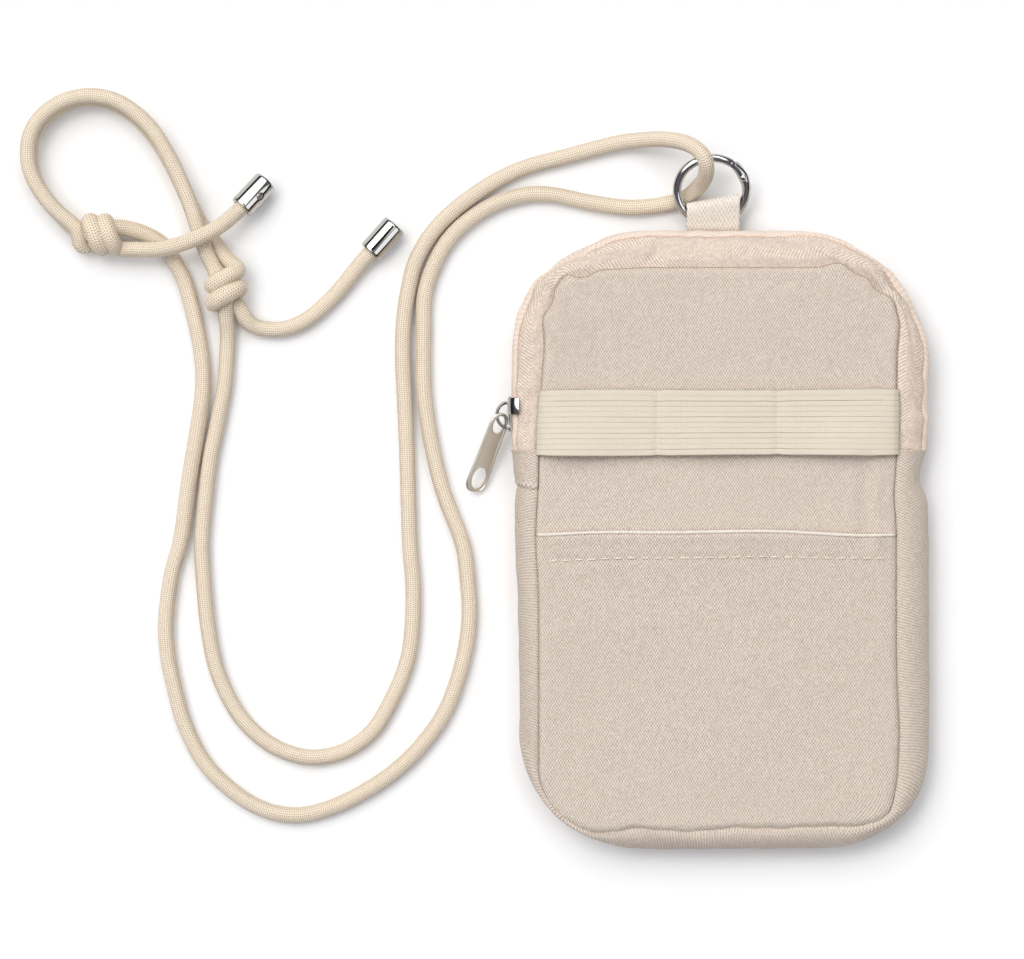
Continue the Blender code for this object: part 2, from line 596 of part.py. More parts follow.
def make_cap(side, mouth, end, screw_direction):
    """A turned metal cup on the cord's end, with a set screw in its wall."""
    shape = bmesh.new()
    profile = ((0.0, CAP_LENGTH), (CAP_RADIUS - 0.3 * MM, CAP_LENGTH), (CAP_RADIUS, CAP_LENGTH - 0.3 * MM),
               (CAP_RADIUS, 0.25 * MM), (CAP_RADIUS - 0.25 * MM, 0.0), (CAP_BORE, 0.0),
               (CAP_BORE, CAP_BORE_DEPTH), (0.0, CAP_BORE_DEPTH))
    line = [shape.verts.new((r, 0.0, z)) for r, z in profile]
    for a, b in zip(line, line[1:]):
        shape.edges.new((a, b))
    cap = place_bmesh(f"cord_end_cap_{side}", shape, NICKEL)
    turned = cap.modifiers.new("turned", "SCREW")
    turned.steps = 28
    turned.render_steps = 28
    turned.use_merge_vertices = True
    turned.merge_threshold = 1e-5
    axis = (end - mouth).normalized()
    cap.rotation_euler = axis.to_track_quat("Z", "Y").to_euler()
    cap.location = mouth
    out = (screw_direction - screw_direction.dot(axis) * axis).normalized()
    seat = mouth + axis * 6.2 * MM + out * (CAP_RADIUS - 0.1 * MM)
    hole = rod(f"screw_hole_{side}", seat, out, SCREW_RADIUS + GAP, 2.4 * MM, NICKEL, 20, CUTTERS)
    cut(cap, cutter(hole))
    rod(f"set_screw_{side}", seat - out * 0.45 * MM, out, SCREW_RADIUS, 1.0 * MM, STEEL, 16)


PARTS, CUTTERS = start()
make_panels()
make_sides()
make_bindings()
make_zip()
make_slider()
make_pull()
make_ring()
make_loop()
make_cord()
make_cap("left", LEFT_CAP_MOUTH, LEFT_CAP_END, Vector((0.55, -0.4, 1.0)))
make_cap("right", RIGHT_CAP_MOUTH, RIGHT_CAP_END, Vector((-0.3, 0.3, -1.0)))
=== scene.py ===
"""The looks of the neck pouch wallet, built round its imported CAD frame.

Routes, outlines and profiles are in millimetres, in the CAD's frame: the pouch lies on its back,
+X to the right, +Y towards the ring and +Z out of the front.
"""

import math
from contextlib import contextmanager

import bmesh
import bpy
import numpy as np
from mathutils import Matrix, Vector, noise


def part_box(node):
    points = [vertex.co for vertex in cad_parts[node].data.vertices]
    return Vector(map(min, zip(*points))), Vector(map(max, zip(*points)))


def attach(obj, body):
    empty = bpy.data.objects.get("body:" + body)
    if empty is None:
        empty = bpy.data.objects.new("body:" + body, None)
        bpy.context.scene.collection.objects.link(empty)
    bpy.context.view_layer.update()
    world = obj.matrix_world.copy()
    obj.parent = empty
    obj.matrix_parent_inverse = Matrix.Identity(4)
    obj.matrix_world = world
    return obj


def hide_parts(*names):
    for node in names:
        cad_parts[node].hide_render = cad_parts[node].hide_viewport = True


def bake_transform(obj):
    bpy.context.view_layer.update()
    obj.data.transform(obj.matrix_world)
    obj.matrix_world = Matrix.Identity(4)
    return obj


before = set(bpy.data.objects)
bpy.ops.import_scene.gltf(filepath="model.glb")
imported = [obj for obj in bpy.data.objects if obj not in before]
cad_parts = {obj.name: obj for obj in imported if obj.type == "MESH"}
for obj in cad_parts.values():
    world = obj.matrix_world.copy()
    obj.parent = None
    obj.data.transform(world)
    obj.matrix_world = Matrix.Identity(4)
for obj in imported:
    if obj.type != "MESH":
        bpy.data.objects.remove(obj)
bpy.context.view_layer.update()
MM = 0.001
UP = (0.0, 0.0, 1.0)

# ---------------------------------------------------------------- camera

CAMERA_AT = (-66.7, 20.2)
VIEW_WIDTH = 327.7
LENS, SENSOR = 200.0, 36.0

# ---------------------------------------------------------------- cord, in millimetres
# Its stretches in order: a tail, the left knot, its bight, the upper strand, the main loop through
# the ring, the lower strand, the right knot and the other tail. A point without a height lies on
# the floor.

CORD_R = 2.5
TAIL_A = [
    (-145.9, 114.6, 4.8), (-149.0, 111.2, 5.8), (-153.0, 106.8, 7.0), (-156.1, 103.8, 8.9),
    (-160.5, 100.1, 11.6), (-165.6, 97.6, 12.6), (-170.7, 95.5, 11.5), (-176.2, 94.0, 9.6),
    (-181.6, 93.4, 8.0), (-187.0, 93.6, 6.9), (-190.6, 93.5, 6.6),
]
BIGHT = [
    (-203.2, 94.6, 3.6), (-204.4, 95.4, 4.8), (-204.6, 97.6, 5.7), (-205.6, 100.2, 6.5),
    (-208.0, 102.6, 7.1),
]
UPPER = [
    (-210.9, 104.9, 7.4), (-215.8, 110.3, 7.7), (-219.3, 116.2, 7.8), (-221.0, 122.6, 7.8),
    (-220.3, 129.9, 7.8), (-216.8, 135.8, 7.8), (-210.9, 140.2, 7.8), (-205.1, 142.1, 7.8),
    (-199.2, 142.4, 7.8), (-193.3, 141.0, 7.8), (-187.4, 137.5, 7.8), (-181.6, 131.9, 7.8),
    (-177.1, 125.0, 7.8), (-172.7, 116.2, 7.8), (-169.3, 107.8, 7.8), (-166.6, 99.7, 6.9),
    (-164.8, 94.2, 5.9), (-162.8, 89.8, 6.0), (-160.0, 84.5, 6.3), (-158.4, 79.5, 6.2),
]
MAIN = [
    (-157.9, 71.8, 5.2), (-157.5, 67.4, 3.4), (-157.7, 61.2), (-158.6, 49.8), (-160.8, 38.3),
    (-163.1, 26.8), (-164.5, 15.4), (-165.8, 0.8), (-165.4, -9.9), (-163.7, -27.8), (-160.5, -42.1),
    (-154.0, -54.9), (-145.4, -63.5), (-136.2, -67.8), (-128.3, -68.5), (-119.7, -66.3), (-111.1, -59.9),
    (-104.7, -49.2), (-100.4, -38.5), (-98.6, -27.8), (-98.3, -13.5), (-99.4, 0.8), (-100.3, 29.6),
    (-101.0, 45.6), (-101.6, 58.4), (-101.4, 69.1), (-100.0, 80.2), (-97.0, 91.1), (-89.7, 102.1),
    (-77.2, 112.4), (-63.9, 119.4), (-49.2, 123.5), (-33.8, 127.5, 3.2), (-25.8, 128.5, 5.4),
    (-20.0, 128.6, 8.6), (-15.2, 128.0, 12.2), (-10.8, 126.6, 16.2), (-7.1, 124.0, 18.8),
    (-5.5, 121.6, 19.0), (-5.0, 119.4, 17.8), (-5.1, 117.3, 15.0), (-5.6, 115.6, 11.2),
    (-6.7, 114.1, 7.6), (-8.8, 112.0, 4.4), (-11.3, 110.2, 2.7), (-14.1, 109.0), (-16.9, 108.4),
    (-22.6, 107.5), (-30.6, 107.2), (-41.9, 108.8), (-54.4, 111.3), (-63.9, 110.9), (-74.2, 107.3),
    (-84.5, 99.7), (-90.6, 90.9), (-94.4, 80.2), (-95.0, 69.1), (-94.6, 45.6), (-89.8, 20.0),
    (-82.9, 0.8), (-81.1, -9.9), (-80.4, -24.2), (-82.6, -38.5), (-87.6, -52.8), (-94.7, -63.5),
    (-104.0, -72.8), (-114.7, -79.9), (-125.4, -84.9), (-136.2, -87.1), (-146.8, -84.9), (-156.1, -79.2),
    (-164.7, -70.6), (-171.1, -58.5), (-174.7, -45.6), (-176.8, -34.9), (-177.2, -24.2), (-175.4, -9.9),
    (-172.5, 0.8), (-170.1, 18.3), (-167.8, 32.6), (-166.0, 44.0), (-165.4, 52.6), (-166.0, 61.2),
    (-168.3, 72.6), (-171.3, 83.4), (-174.2, 89.2), (-177.6, 94.6), (-182.6, 98.1, 3.2),
    (-187.9, 100.0, 4.8), (-193.0, 100.6, 6.2), (-199.4, 99.4, 6.4), (-204.5, 99.0, 4.4),
]
LOWER = [
    (-207.6, 101.2, 2.8), (-210.9, 104.6), (-215.5, 109.7), (-219.0, 115.9), (-220.5, 122.6),
    (-219.8, 129.6), (-216.4, 135.3), (-210.5, 139.6), (-204.9, 141.5), (-199.4, 141.8), (-193.6, 140.3),
    (-187.9, 136.9), (-182.2, 131.2), (-177.6, 124.5), (-173.1, 115.9), (-169.2, 107.5), (-164.8, 100.0),
    (-161.0, 95.2, 3.2), (-157.9, 90.8, 4.6),
]
TAIL_B = [
    (-152.0, 71.8, 4.4), (-150.0, 69.6, 3.3), (-146.7, 68.4, 2.6), (-141.3, 68.1), (-135.7, 69.5),
    (-130.2, 72.8), (-124.7, 77.8), (-120.3, 82.7, 2.6), (-115.9, 88.2, 3.2), (-111.9, 92.7, 4.1),
    (-108.0, 97.1, 4.2), (-106.0, 99.4, 4.2),
]
CAP_A = ((-153.0, 106.8, 7.0), (-145.2, 115.4, 4.6), (0.55, -0.4, 1.0))
CAP_B = ((-111.9, 92.7, 4.2), (-104.1, 101.5, 4.2), (-0.3, 0.3, -1.0))
# Each knot's centre, axis (0 is x), way round, turns, length, radius, first angle and skew.
KNOT_LEFT = ((-198.0, 98.3, 6.9), 0, -1, 1.85, 8.4, 4.2, 180, -0.22)
KNOT_RIGHT = ((-157.9, 80.6, 6.9), 1, 1, 1.86, 10.2, 4.3, 15, 0.36)
# The cord is fuller round these points.
SWELLS, SWELL, SWELL_REACH = [(-199.4, 98.4, 6.4), (-158.1, 80.8, 6.4)], 0.2, 6.5
# Half sections of a cord end and its set screw: radius and height.
CAP_PROFILE = [
    (2.75, 8.5), (2.75, 0.35), (2.9, 0.0), (3.5, -0.02), (3.82, 0.12), (3.97, 0.42), (4.0, 0.8),
    (4.0, 11.1), (3.93, 11.5), (3.7, 11.8), (3.35, 11.9), (2.2, 11.86), (0.9, 11.84), (0.0, 11.84),
]
SCREW_PROFILE = [(0, -1.3), (1.12, -1.3), (1.12, -0.25), (1.0, -0.12), (0, -0.12)]
SCREW_ALONG, SCREW_OUT = 6.2, 3.9
RIDGE, RIDGE_SEAT = 0.07, 0.05
CORD_STEP = 0.6
CORD_SIDES = 32
CORD_COLUMNS = 16

# ---------------------------------------------------------------- pouch, in millimetres

# Outlines of the front seam, the widest part and the back seam: half width, half height, centre,
# and the corners' radii: upper left, upper right, lower left and lower right.
FRONT = (56.9, 89.2, (-1.5, -2.0), (19.5, 19.5, 19.5, 19.5))
SIDE = (66.3, 98.4, (0.0, 1.0), (39.0, 46.0, 39.0, 33.0))
BACK = (57.2, 90.2, (0.0, 0.0), (21.0, 21.0, 21.0, 21.0))
FRONT_Z, MIDDLE_Z, BACK_Z = 17.0, 9.15, 0.9
TOP_Z = 17.6
ROUNDNESS = 0.92
GUSSET_ROWS = 34
# Where the flap's pieces bend, in metres: still with the pouch at the first, with the flap at the last.
FRONT_BEND = ((0, 0.0205, 0.0176), (0, 0.032, 0.0176))
SIDE_BEND = ((0, 0.0292, 0.009), (0, 0.045, 0.009))
GUSSET_TOP = 29.7
TAPE_LOW = 29.2
COIL_LOW = 32.2
STITCH_ANGLE = 36
POCKET_TOP, POCKET_LIFT = 2.6, 0.62
BAND_LIFT, RIB_PITCH = 1.1, 1.7
BINDING_INSET = 1.9
ELASTIC = (28.0, 48.4)
ELASTIC_SEAMS = (-20.7, 17.3)
# Where the front seam puckers, and where the widest outline bulges: centre, push and reach.
PUCKERS = [
    (-44.0, 87.0, 0.3, -2.4, 3.2), (-49.4, 85.0, -0.6, 1.0, 2.0), (-55.6, 76.5, 1.9, -0.6, 2.8),
    (-57.2, 64.0, 1.9, 0.0, 7.0), (-58.2, 48.0, 0.8, 0.0, 8.0), (-58.4, 2.0, -1.0, 0.0, 9.0),
    (50.0, 82.0, -1.2, -1.1, 2.4), (55.2, 78.0, 1.3, 0.8, 2.2), (36.5, 87.6, 0.2, 1.5, 2.8),
    (43.0, 86.4, -0.3, -0.8, 2.2), (52.0, -86.0, 2.0, -2.0, 5.0), (24.0, -91.0, 0.0, 1.1, 12.0),
    (-40.0, -90.5, 0.0, -0.8, 5.0), (55.4, 15.0, -0.7, 0.0, 5.0), (56.0, -60.0, 0.9, 0.0, 10.0),
    (-34.0, 87.0, 0.0, -0.5, 4.0), (56.4, 70.0, 0.9, 0.0, 5.0), (-27.0, -91.2, 0.0, 0.8, 2.6),
    (-11.0, -91.2, 0.0, -0.6, 2.4), (4.0, -91.2, 0.0, 0.7, 2.8), (19.0, -91.2, 0.0, -0.5, 2.6),
    (36.0, -91.2, 0.0, 0.7, 3.0),
]
BULGES = [
    (-66.0, -42.0, 1.5, 0.0, 26.0), (-66.0, 45.0, -0.7, 0.0, 16.0), (66.0, 21.0, -2.3, 0.0, 4.2),
    (66.0, 40.0, -0.8, 0.0, 12.0), (-66.0, 18.5, 0.7, 0.0, 2.2), (10.0, -97.4, 0.0, -0.5, 20.0),
    (-52.0, -88.0, 0.6, 0.6, 6.0), (60.0, -82.0, 0.8, -0.3, 7.0), (-42.0, 93.5, 0.5, -1.2, 8.0),
    (-53.0, 91.0, 0.9, -1.0, 8.0),
]


# ---------------------------------------------------------------- helpers


def link(obj):
    bpy.context.scene.collection.objects.link(obj)
    return obj


@contextmanager
def editing(mesh):
    """The mesh as a bmesh, which is written back at the end."""
    shape = bmesh.new()
    shape.from_mesh(mesh)
    yield shape
    shape.to_mesh(mesh)
    shape.free()


def settle(obj, body, slot, *nodes):
    """Rides a body, or just has its transform baked in when given two bends, and stands for CAD nodes. slot
    is not used.
    """
    if isinstance(body, str):
        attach(obj, body)
    else:
        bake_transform(obj)
    if nodes:
        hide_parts(*nodes)
    return obj


def lengths(points):
    """How far along a line each of its points is."""
    return np.concatenate([[0], np.cumsum(np.linalg.norm(np.diff(points, axis=0), axis=1))])


def sample(at, along, points):
    """Points at given lengths along a line."""
    return np.stack([np.interp(at, along, points[:, k]) for k in range(3)], -1)


def unit(vectors):
    return vectors / np.linalg.norm(vectors, axis=-1, keepdims=True)


def circle(count):
    """Angles all the way round."""
    return np.linspace(0, 2 * math.pi, count, endpoint=False)


def grid_of(rows, columns):
    return np.stack(np.meshgrid(rows, columns, indexing="ij"), axis=-1)


def raised(flat, z):
    """(x, y) points with their heights, or with one height."""
    return np.concatenate([flat, np.broadcast_to(z, flat.shape[:-1])[..., None]], -1)


def mesh_object(name, points, faces, paint, uvs=None, smooth=True):
    """A mesh from points in millimetres. uvs has one point of cloth, in millimetres, per corner."""
    mesh = bpy.data.meshes.new(name)
    mesh.from_pydata([tuple(p) for p in np.asarray(points, float) * MM], [], faces)
    if uvs is not None:
        layer = mesh.uv_layers.new(name="cloth")
        layer.data.foreach_set("uv", np.asarray(uvs, np.float32).ravel())
    mesh.polygons.foreach_set("use_smooth", [smooth] * len(mesh.polygons))
    mesh.materials.append(paint)
    return link(bpy.data.objects.new(name, mesh))


def grid_faces(rows, columns, close_rows=False, close_columns=False, flip=False):
    """The quads of a grid of points, and each corner's row and column in a grid that doesn't wrap."""
    faces, corners = [], []
    for i in range(rows if close_rows else rows - 1):
        for j in range(columns if close_columns else columns - 1):
            quad = [(i, j), (i + 1, j), (i + 1, j + 1), (i, j + 1)]
            if flip:
                quad = quad[::-1]
            faces.append([row % rows * columns + column % columns for row, column in quad])
            corners.extend(quad)
    return faces, np.array(corners)


def grid_object(name, points, uv, paint, close_rows=False, close_columns=False, flip=False):
    """points is rows x columns x 3. uv is one row and column longer where the grid wraps."""
    faces, corners = grid_faces(*points.shape[:2], close_rows, close_columns, flip)
    uvs = uv[corners[:, 0], corners[:, 1]]
    return mesh_object(name, points.reshape(-1, 3), faces, paint, uvs)


def modify(obj, kind, **settings):
    change = obj.modifiers.new(kind.lower(), kind)
    for key, value in settings.items():
        setattr(change, key, value)
    return obj


def cloth(name, points, uv, paint, thickness, flip=False, offset=-1.0):
    """A grid with a cloth's thickness, under it (-1) or half each side (0)."""
    obj = grid_object(name, points, uv, paint, flip=flip)
    return modify(obj, "SOLIDIFY", thickness=thickness * MM, offset=offset, use_rim=True)


def smooth_line(route, step):
    """A smooth curve through a route, at even steps."""
    route = np.array(route, float)
    ends = np.vstack([2 * route[0] - route[1], route, 2 * route[-1] - route[-2]])
    fine = []
    for a, b, c, d in zip(ends, ends[1:], ends[2:], ends[3:]):
        for t in np.linspace(0, 1, 16, endpoint=False):
            fine.append(0.5 * (2 * b + (c - a) * t + (2 * a - 5 * b + 4 * c - d) * t * t
                               + (3 * b - a - 3 * c + d) * t ** 3))
    fine = np.array(fine + [route[-1]])
    along = lengths(fine)
    return sample(np.linspace(0, along[-1], max(2, int(along[-1] / step) + 1)), along, fine)


def line_normals(points, closed):
    """Two normals along a line, turned as little as possible."""
    if closed:
        tangents = np.roll(points, -1, 0) - np.roll(points, 1, 0)
    else:
        tangents = np.gradient(points, axis=0)
    tangents = unit(tangents)
    side = np.cross(tangents[0], (0.0, 0.0, 1.0))
    if np.linalg.norm(side) < 0.1:
        side = np.cross(tangents[0], (0.0, 1.0, 0.0))
    sides = [side]
    for t in tangents:
        sides.append(unit(sides[-1] - (sides[-1] @ t) * t))
    return np.array(sides[1:]), np.cross(sides[1:], tangents)


def tube_object(name, points, radius, sides, paint, closed=False, flat=1.0):
    """A tube round a line. radius may vary along and round it, and flat scales its height."""
    points = np.asarray(points, float)
    right, up = line_normals(points, closed)
    angle = circle(sides)[None, :, None]
    size = np.broadcast_to(np.asarray(radius, float), (len(points), sides))[..., None]
    shell = points[:, None] + size * (np.cos(angle) * right[:, None] + flat * np.sin(angle) * up[:, None])
    along = lengths(np.vstack([points, points[:1]]))[: len(points) + (1 if closed else 0)]
    around = np.linspace(0, 2 * math.pi * float(np.max(radius)), sides + 1)
    obj = grid_object(name, shell, grid_of(along, around), paint, closed, True, flip=True)
    if not closed:
        with editing(obj.data) as shape:
            shape.verts.ensure_lookup_table()
            for end in (shape.verts[:sides], shape.verts[-sides:][::-1]):
                shape.faces.new(end)
            bmesh.ops.recalc_face_normals(shape, faces=shape.faces)
    return obj


def lathe(name, profile, paint, matrix, steps):
    """A turned solid from (radius, height) pairs in millimetres."""
    points = [(r * math.cos(a), r * math.sin(a), z) for r, z in profile for a in circle(steps)]
    obj = mesh_object(name, points, grid_faces(len(profile), steps, False, True)[0], paint)
    with editing(obj.data) as shape:
        bmesh.ops.remove_doubles(shape, verts=shape.verts, dist=1e-7)
        bmesh.ops.recalc_face_normals(shape, faces=shape.faces)
    obj.data.transform(matrix)
    return sharp_by_angle(obj, 35)


def sharp_by_angle(obj, degrees):
    """Smooth shading, with edges steeper than the angle kept sharp."""
    with editing(obj.data) as shape:
        for edge in shape.edges:
            flat = edge.calc_face_angle(0) < math.radians(degrees)
            edge.smooth = len(edge.link_faces) == 2 and flat
        for face in shape.faces:
            face.smooth = True
    return obj


def apply_modifiers(obj):
    bpy.context.view_layer.update()
    graph = bpy.context.evaluated_depsgraph_get()
    mesh = bpy.data.meshes.new_from_object(obj.evaluated_get(graph))
    obj.modifiers.clear()
    obj.data = mesh
    return obj


def cut(obj, tool, operation="DIFFERENCE"):
    apply_modifiers(modify(obj, "BOOLEAN", operation=operation, object=tool, solver="EXACT"))
    bpy.data.objects.remove(tool)
    return obj


def bevel(obj, width, segments=2, angle=30):
    return apply_modifiers(modify(obj, "BEVEL", width=width * MM, segments=segments,
                                  limit_method="ANGLE", angle_limit=math.radians(angle)))


def join(obj, others):
    """Adds other meshes, none of them moved, to an object."""
    with editing(obj.data) as shape:
        for other in others:
            shape.from_mesh(other.data)
            bpy.data.objects.remove(other)
    return obj


def box_object(name, low, high, paint):
    """A plain block between two corners in millimetres, to be bevelled or to cut with."""
    mesh = bpy.data.meshes.new(name)
    low, high = Vector(low) * MM, Vector(high) * MM
    with editing(mesh) as shape:
        bmesh.ops.create_cube(shape, size=1.0)
        bmesh.ops.scale(shape, vec=high - low, verts=shape.verts)
        bmesh.ops.translate(shape, vec=(low + high) / 2, verts=shape.verts)
    mesh.materials.append(paint)
    return link(bpy.data.objects.new(name, mesh))


def aim(direction):
    """The turn that points +Z in a direction."""
    return Vector(direction).to_track_quat("Z", "Y").to_matrix().to_4x4()


def turned_at(point, turn):
    """A turn and then a move to a point in millimetres."""
    return Matrix.Translation(Vector(point) * MM) @ turn


def waves(points, size, seed, octaves=3):
    """Smooth noise at each point, from -1 to 1, with the given size of its features."""
    shift = Vector((seed * 17.3, seed * 5.1, seed * 9.7))
    flat = np.asarray(points, float).reshape(-1, 3) / size
    found = [noise.fractal(Vector(p) + shift, 1.0, 2.0, octaves) for p in flat]
    return np.array(found).reshape(np.asarray(points).shape[:-1])


def flat_waves(x, y, size, seed, octaves=3):
    return waves(np.stack([x, y, 0 * x], -1), size, seed, octaves)


def moved(points, spots):
    """(x, y) points pushed softly by spots, each a centre, a push and a reach."""
    x, y = points[..., 0], points[..., 1]
    push = np.zeros_like(points)
    for cx, cy, px, py, reach in spots:
        push += np.exp(-((x - cx) ** 2 + (y - cy) ** 2) / (2 * reach * reach))[..., None] * (px, py)
    return points + push


def ease(value, low, high):
    t = np.clip((value - low) / (high - low), 0, 1)
    return t * t * (3 - 2 * t)


def hump(value, at, width):
    """A smooth hump of height 1."""
    return np.exp(-((value - at) / width) ** 2)


# ---------------------------------------------------------------- materials


class Nodes:
    """Short calls for the nodes of a material or a world."""

    def __init__(self, owner):
        owner.use_nodes = True
        self.owner, self.tree = owner, owner.node_tree

    def wire(self, value, socket):
        """Links an output to a socket, or sets the socket's number, direction or colour."""
        if hasattr(value, "is_output"):
            self.tree.links.new(value, socket)
        else:
            socket.default_value = (*value, 1.0) if socket.type == "RGBA" else value

    def node(self, kind, inputs=(), output=0, **settings):
        """An output of a new node. inputs pairs the names or numbers of its sockets with values."""
        made = self.tree.nodes.new("ShaderNode" + kind)
        for key, value in settings.items():
            setattr(made, key, value)
        for key, value in inputs:
            self.wire(value, made.inputs[key])
        return made.outputs[output]

    def math(self, operation, *values):
        return self.node("Math", enumerate(values), operation=operation)

    def mul(self, a, b):
        return self.math("MULTIPLY", a, b)

    def mad(self, a, b, c):
        """a times b, plus c."""
        return self.math("MULTIPLY_ADD", a, b, c)

    def cloth_uv(self):
        """Along and across the cloth, in millimetres."""
        place = self.node("UVMap", uv_map="cloth")
        return [self.node("SeparateXYZ", [(0, place)], axis) for axis in (0, 1)]

    def noise(self, scale, detail):
        """Noise by the place on the piece, with scale features in a metre."""
        place = self.node("TexCoord", output="Object")
        return self.node("TexNoise", (("Scale", scale), ("Detail", detail), ("Vector", place)), "Fac")

    def sine(self, value, pitch):
        return self.math("SINE", self.mul(value, 2 * math.pi / pitch))

    def ridge(self, value):
        """Round ridges one unit apart, with sharp grooves between them."""
        return self.math("ABSOLUTE", self.math("SINE", self.mul(value, math.pi)))

    def fade(self, value, low, high):
        """0 below low, 1 above high and smooth between."""
        inputs = ("Value", value), ("From Min", low), ("From Max", high)
        return self.node("MapRange", inputs, interpolation_type="SMOOTHSTEP")

    def ramp(self, value, *stops):
        made = self.tree.nodes.new("ShaderNodeValToRGB")
        self.wire(value, made.inputs[0])
        while len(made.color_ramp.elements) < len(stops):
            made.color_ramp.elements.new(0.5)
        for element, (at, colour) in zip(made.color_ramp.elements, stops):
            element.position = at
            element.color = (*colour, 1.0)
        return made.outputs[0]

    def blend(self, share, a, b):
        return self.node("Mix", ((0, share), (6, a), (7, b)), 2, data_type="RGBA")

    def bump(self, height, distance, strength, normal=None):
        inputs = [("Height", height), ("Distance", distance), ("Strength", strength)]
        return self.node("Bump", inputs + ([] if normal is None else [("Normal", normal)]))

    def done(self, colour, roughness, normal=None, metallic=0.0, sheen=0.0):
        values = {"Base Color": colour, "Roughness": roughness, "Metallic": metallic,
                  "Sheen Weight": sheen, "Sheen Roughness": 0.5}
        if metallic == 0.0:
            values["Specular IOR Level"] = 0.25
        if normal is not None:
            values["Normal"] = normal
        for name, value in values.items():
            self.wire(value, self.tree.nodes["Principled BSDF"].inputs[name])
        return self.owner


def new_paint(name):
    return Nodes(bpy.data.materials.new(name))


def srgb(r, g, b):
    """A display colour from 0 to 255 as scene light."""
    return tuple(((c / 255 + 0.055) / 1.055) ** 2.4 if c > 10 else c / 3295 for c in (r, g, b))


def canvas(name, light, dark, pitch=0.87, contrast=1.0):
    """Plain-woven canvas: dots in slanting rows, with uneven yarns and stray fibres."""
    slant = 0.62
    n = new_paint(name)
    u, v = n.cloth_uv()
    u = n.mad(n.noise(260, 1), 0.5, u)
    v = n.mad(n.noise(240, 1), 0.5, v)
    rows = n.math("ADD", n.sine(n.mad(v, slant, u), pitch), n.sine(n.mad(v, -slant, u), pitch))
    weave = n.mad(rows, 0.25, 0.5)
    dots, grain = n.noise(1100, 1), n.noise(3000, 2)
    tone = n.mad(grain, 0.20, 0.30 * (1 - contrast))
    tone = n.mad(weave, 0.60 * contrast, n.mad(dots, 0.36, tone))
    middle = tuple(0.52 * a + 0.48 * b for a, b in zip(light, dark))
    colour = n.ramp(tone, (0.24, dark), (0.58, middle), (0.90, light))
    colour = n.blend(n.mul(n.noise(30, 3), 0.10), colour, dark)
    normal = n.bump(n.mad(weave, 0.9, n.mul(dots, 0.4)), 0.00026, 0.85)
    return n.done(colour, 0.92, n.bump(grain, 0.00006, 0.6, normal), sheen=0.1)


def herringbone(name, light, dark, pitch):
    """Tape woven in chevrons that turn round every half zigzag across it."""
    zigzag, slope = 9.0, 1.1
    n = new_paint(name)
    u, v = n.cloth_uv()
    u = n.mad(n.noise(300, 2), 0.3, u)
    turn = n.math("PINGPONG", v, zigzag / 2)
    weave = n.mad(n.sine(n.mad(turn, slope, u), pitch), 0.36, 0.5)
    grain, dots = n.noise(2400, 2), n.noise(1000, 1)
    tone = n.mad(weave, 0.44, n.mad(grain, 0.25, n.mul(dots, 0.38)))
    colour = n.ramp(tone, (0.25, dark), (0.84, light))
    return n.done(colour, 0.85, n.bump(n.mad(weave, 0.8, n.mul(dots, 0.4)), 0.0002, 0.7), sheen=0.08)


def ribbed(name, light, dark, pitch, picks=0.55):
    """Lengthwise ribs whose narrow grooves are painted darker as painted shade, crossed by fine picks of
    thread.
    """
    n = new_paint(name)
    u, v = n.cloth_uv()
    pick = n.sine(n.mad(n.noise(400, 1), 0.2, u), picks)
    rib = n.math("MINIMUM", n.mul(n.ridge(n.mul(v, 1 / pitch)), 1.9), 1.0)
    grain = n.noise(2200, 2)
    # The rib term darkens the grooves in colour: painted shade in the grooves.
    tone = n.mad(pick, 0.07, n.mad(rib, 0.44, n.mad(grain, 0.34, 0.10)))
    colour = n.ramp(tone, (0.2, dark), (0.8, light))
    height = n.mad(rib, 0.6, n.mad(pick, 0.2, n.mul(grain, 0.4)))
    return n.done(colour, 0.75, n.bump(height, 0.00012, 0.6), sheen=0.08)


def cord_cloth():
    """Braid: lengthwise columns of slanting stitches. The ridges of the columns are in the mesh."""
    n = new_paint("cord_braid")
    u, v = n.cloth_uv()
    column = n.mul(v, CORD_COLUMNS / (2 * math.pi * CORD_R))
    rows = n.sine(n.mad(n.math("PINGPONG", column, 1.0), 0.30, u), 0.62)
    # The column ridge darkens the grooves between columns in colour: painted shade.
    stitch = n.mad(rows, 0.24, n.mad(n.ridge(column), 0.34, 0.28))
    tone = n.mad(stitch, 0.80, n.mul(n.noise(2600, 2), 0.24))
    dark, middle, light = srgb(158, 134, 107), srgb(221, 203, 178), srgb(250, 239, 222)
    colour = n.ramp(tone, (0.16, dark), (0.46, middle), (0.76, light))
    return n.done(colour, 0.6, n.bump(stitch, 0.00024, 0.7), sheen=0.12)


def metal(name, colour, roughness, scuff=0.04):
    """Plated metal with faint polishing marks."""
    n = new_paint(name)
    marks, smudge = n.noise(900, 3), n.noise(140, 2)
    rough = n.mad(marks, scuff, n.mad(smudge, scuff, roughness))
    tint = n.blend(n.mul(smudge, 0.12), colour, tuple(c * 0.8 for c in colour))
    return n.done(tint, rough, n.bump(marks, 0.00001, 0.05), metallic=1.0)


def thread(name, light, dark):
    n = new_paint(name)
    twist = n.noise(1500, 2)
    return n.done(n.ramp(twist, (0.3, dark), (0.7, light)), 0.7, n.bump(twist, 0.00008, 0.5))


def nylon(name, light, dark):
    n = new_paint(name)
    return n.done(n.ramp(n.noise(500, 2), (0.3, dark), (0.7, light)), 0.38)


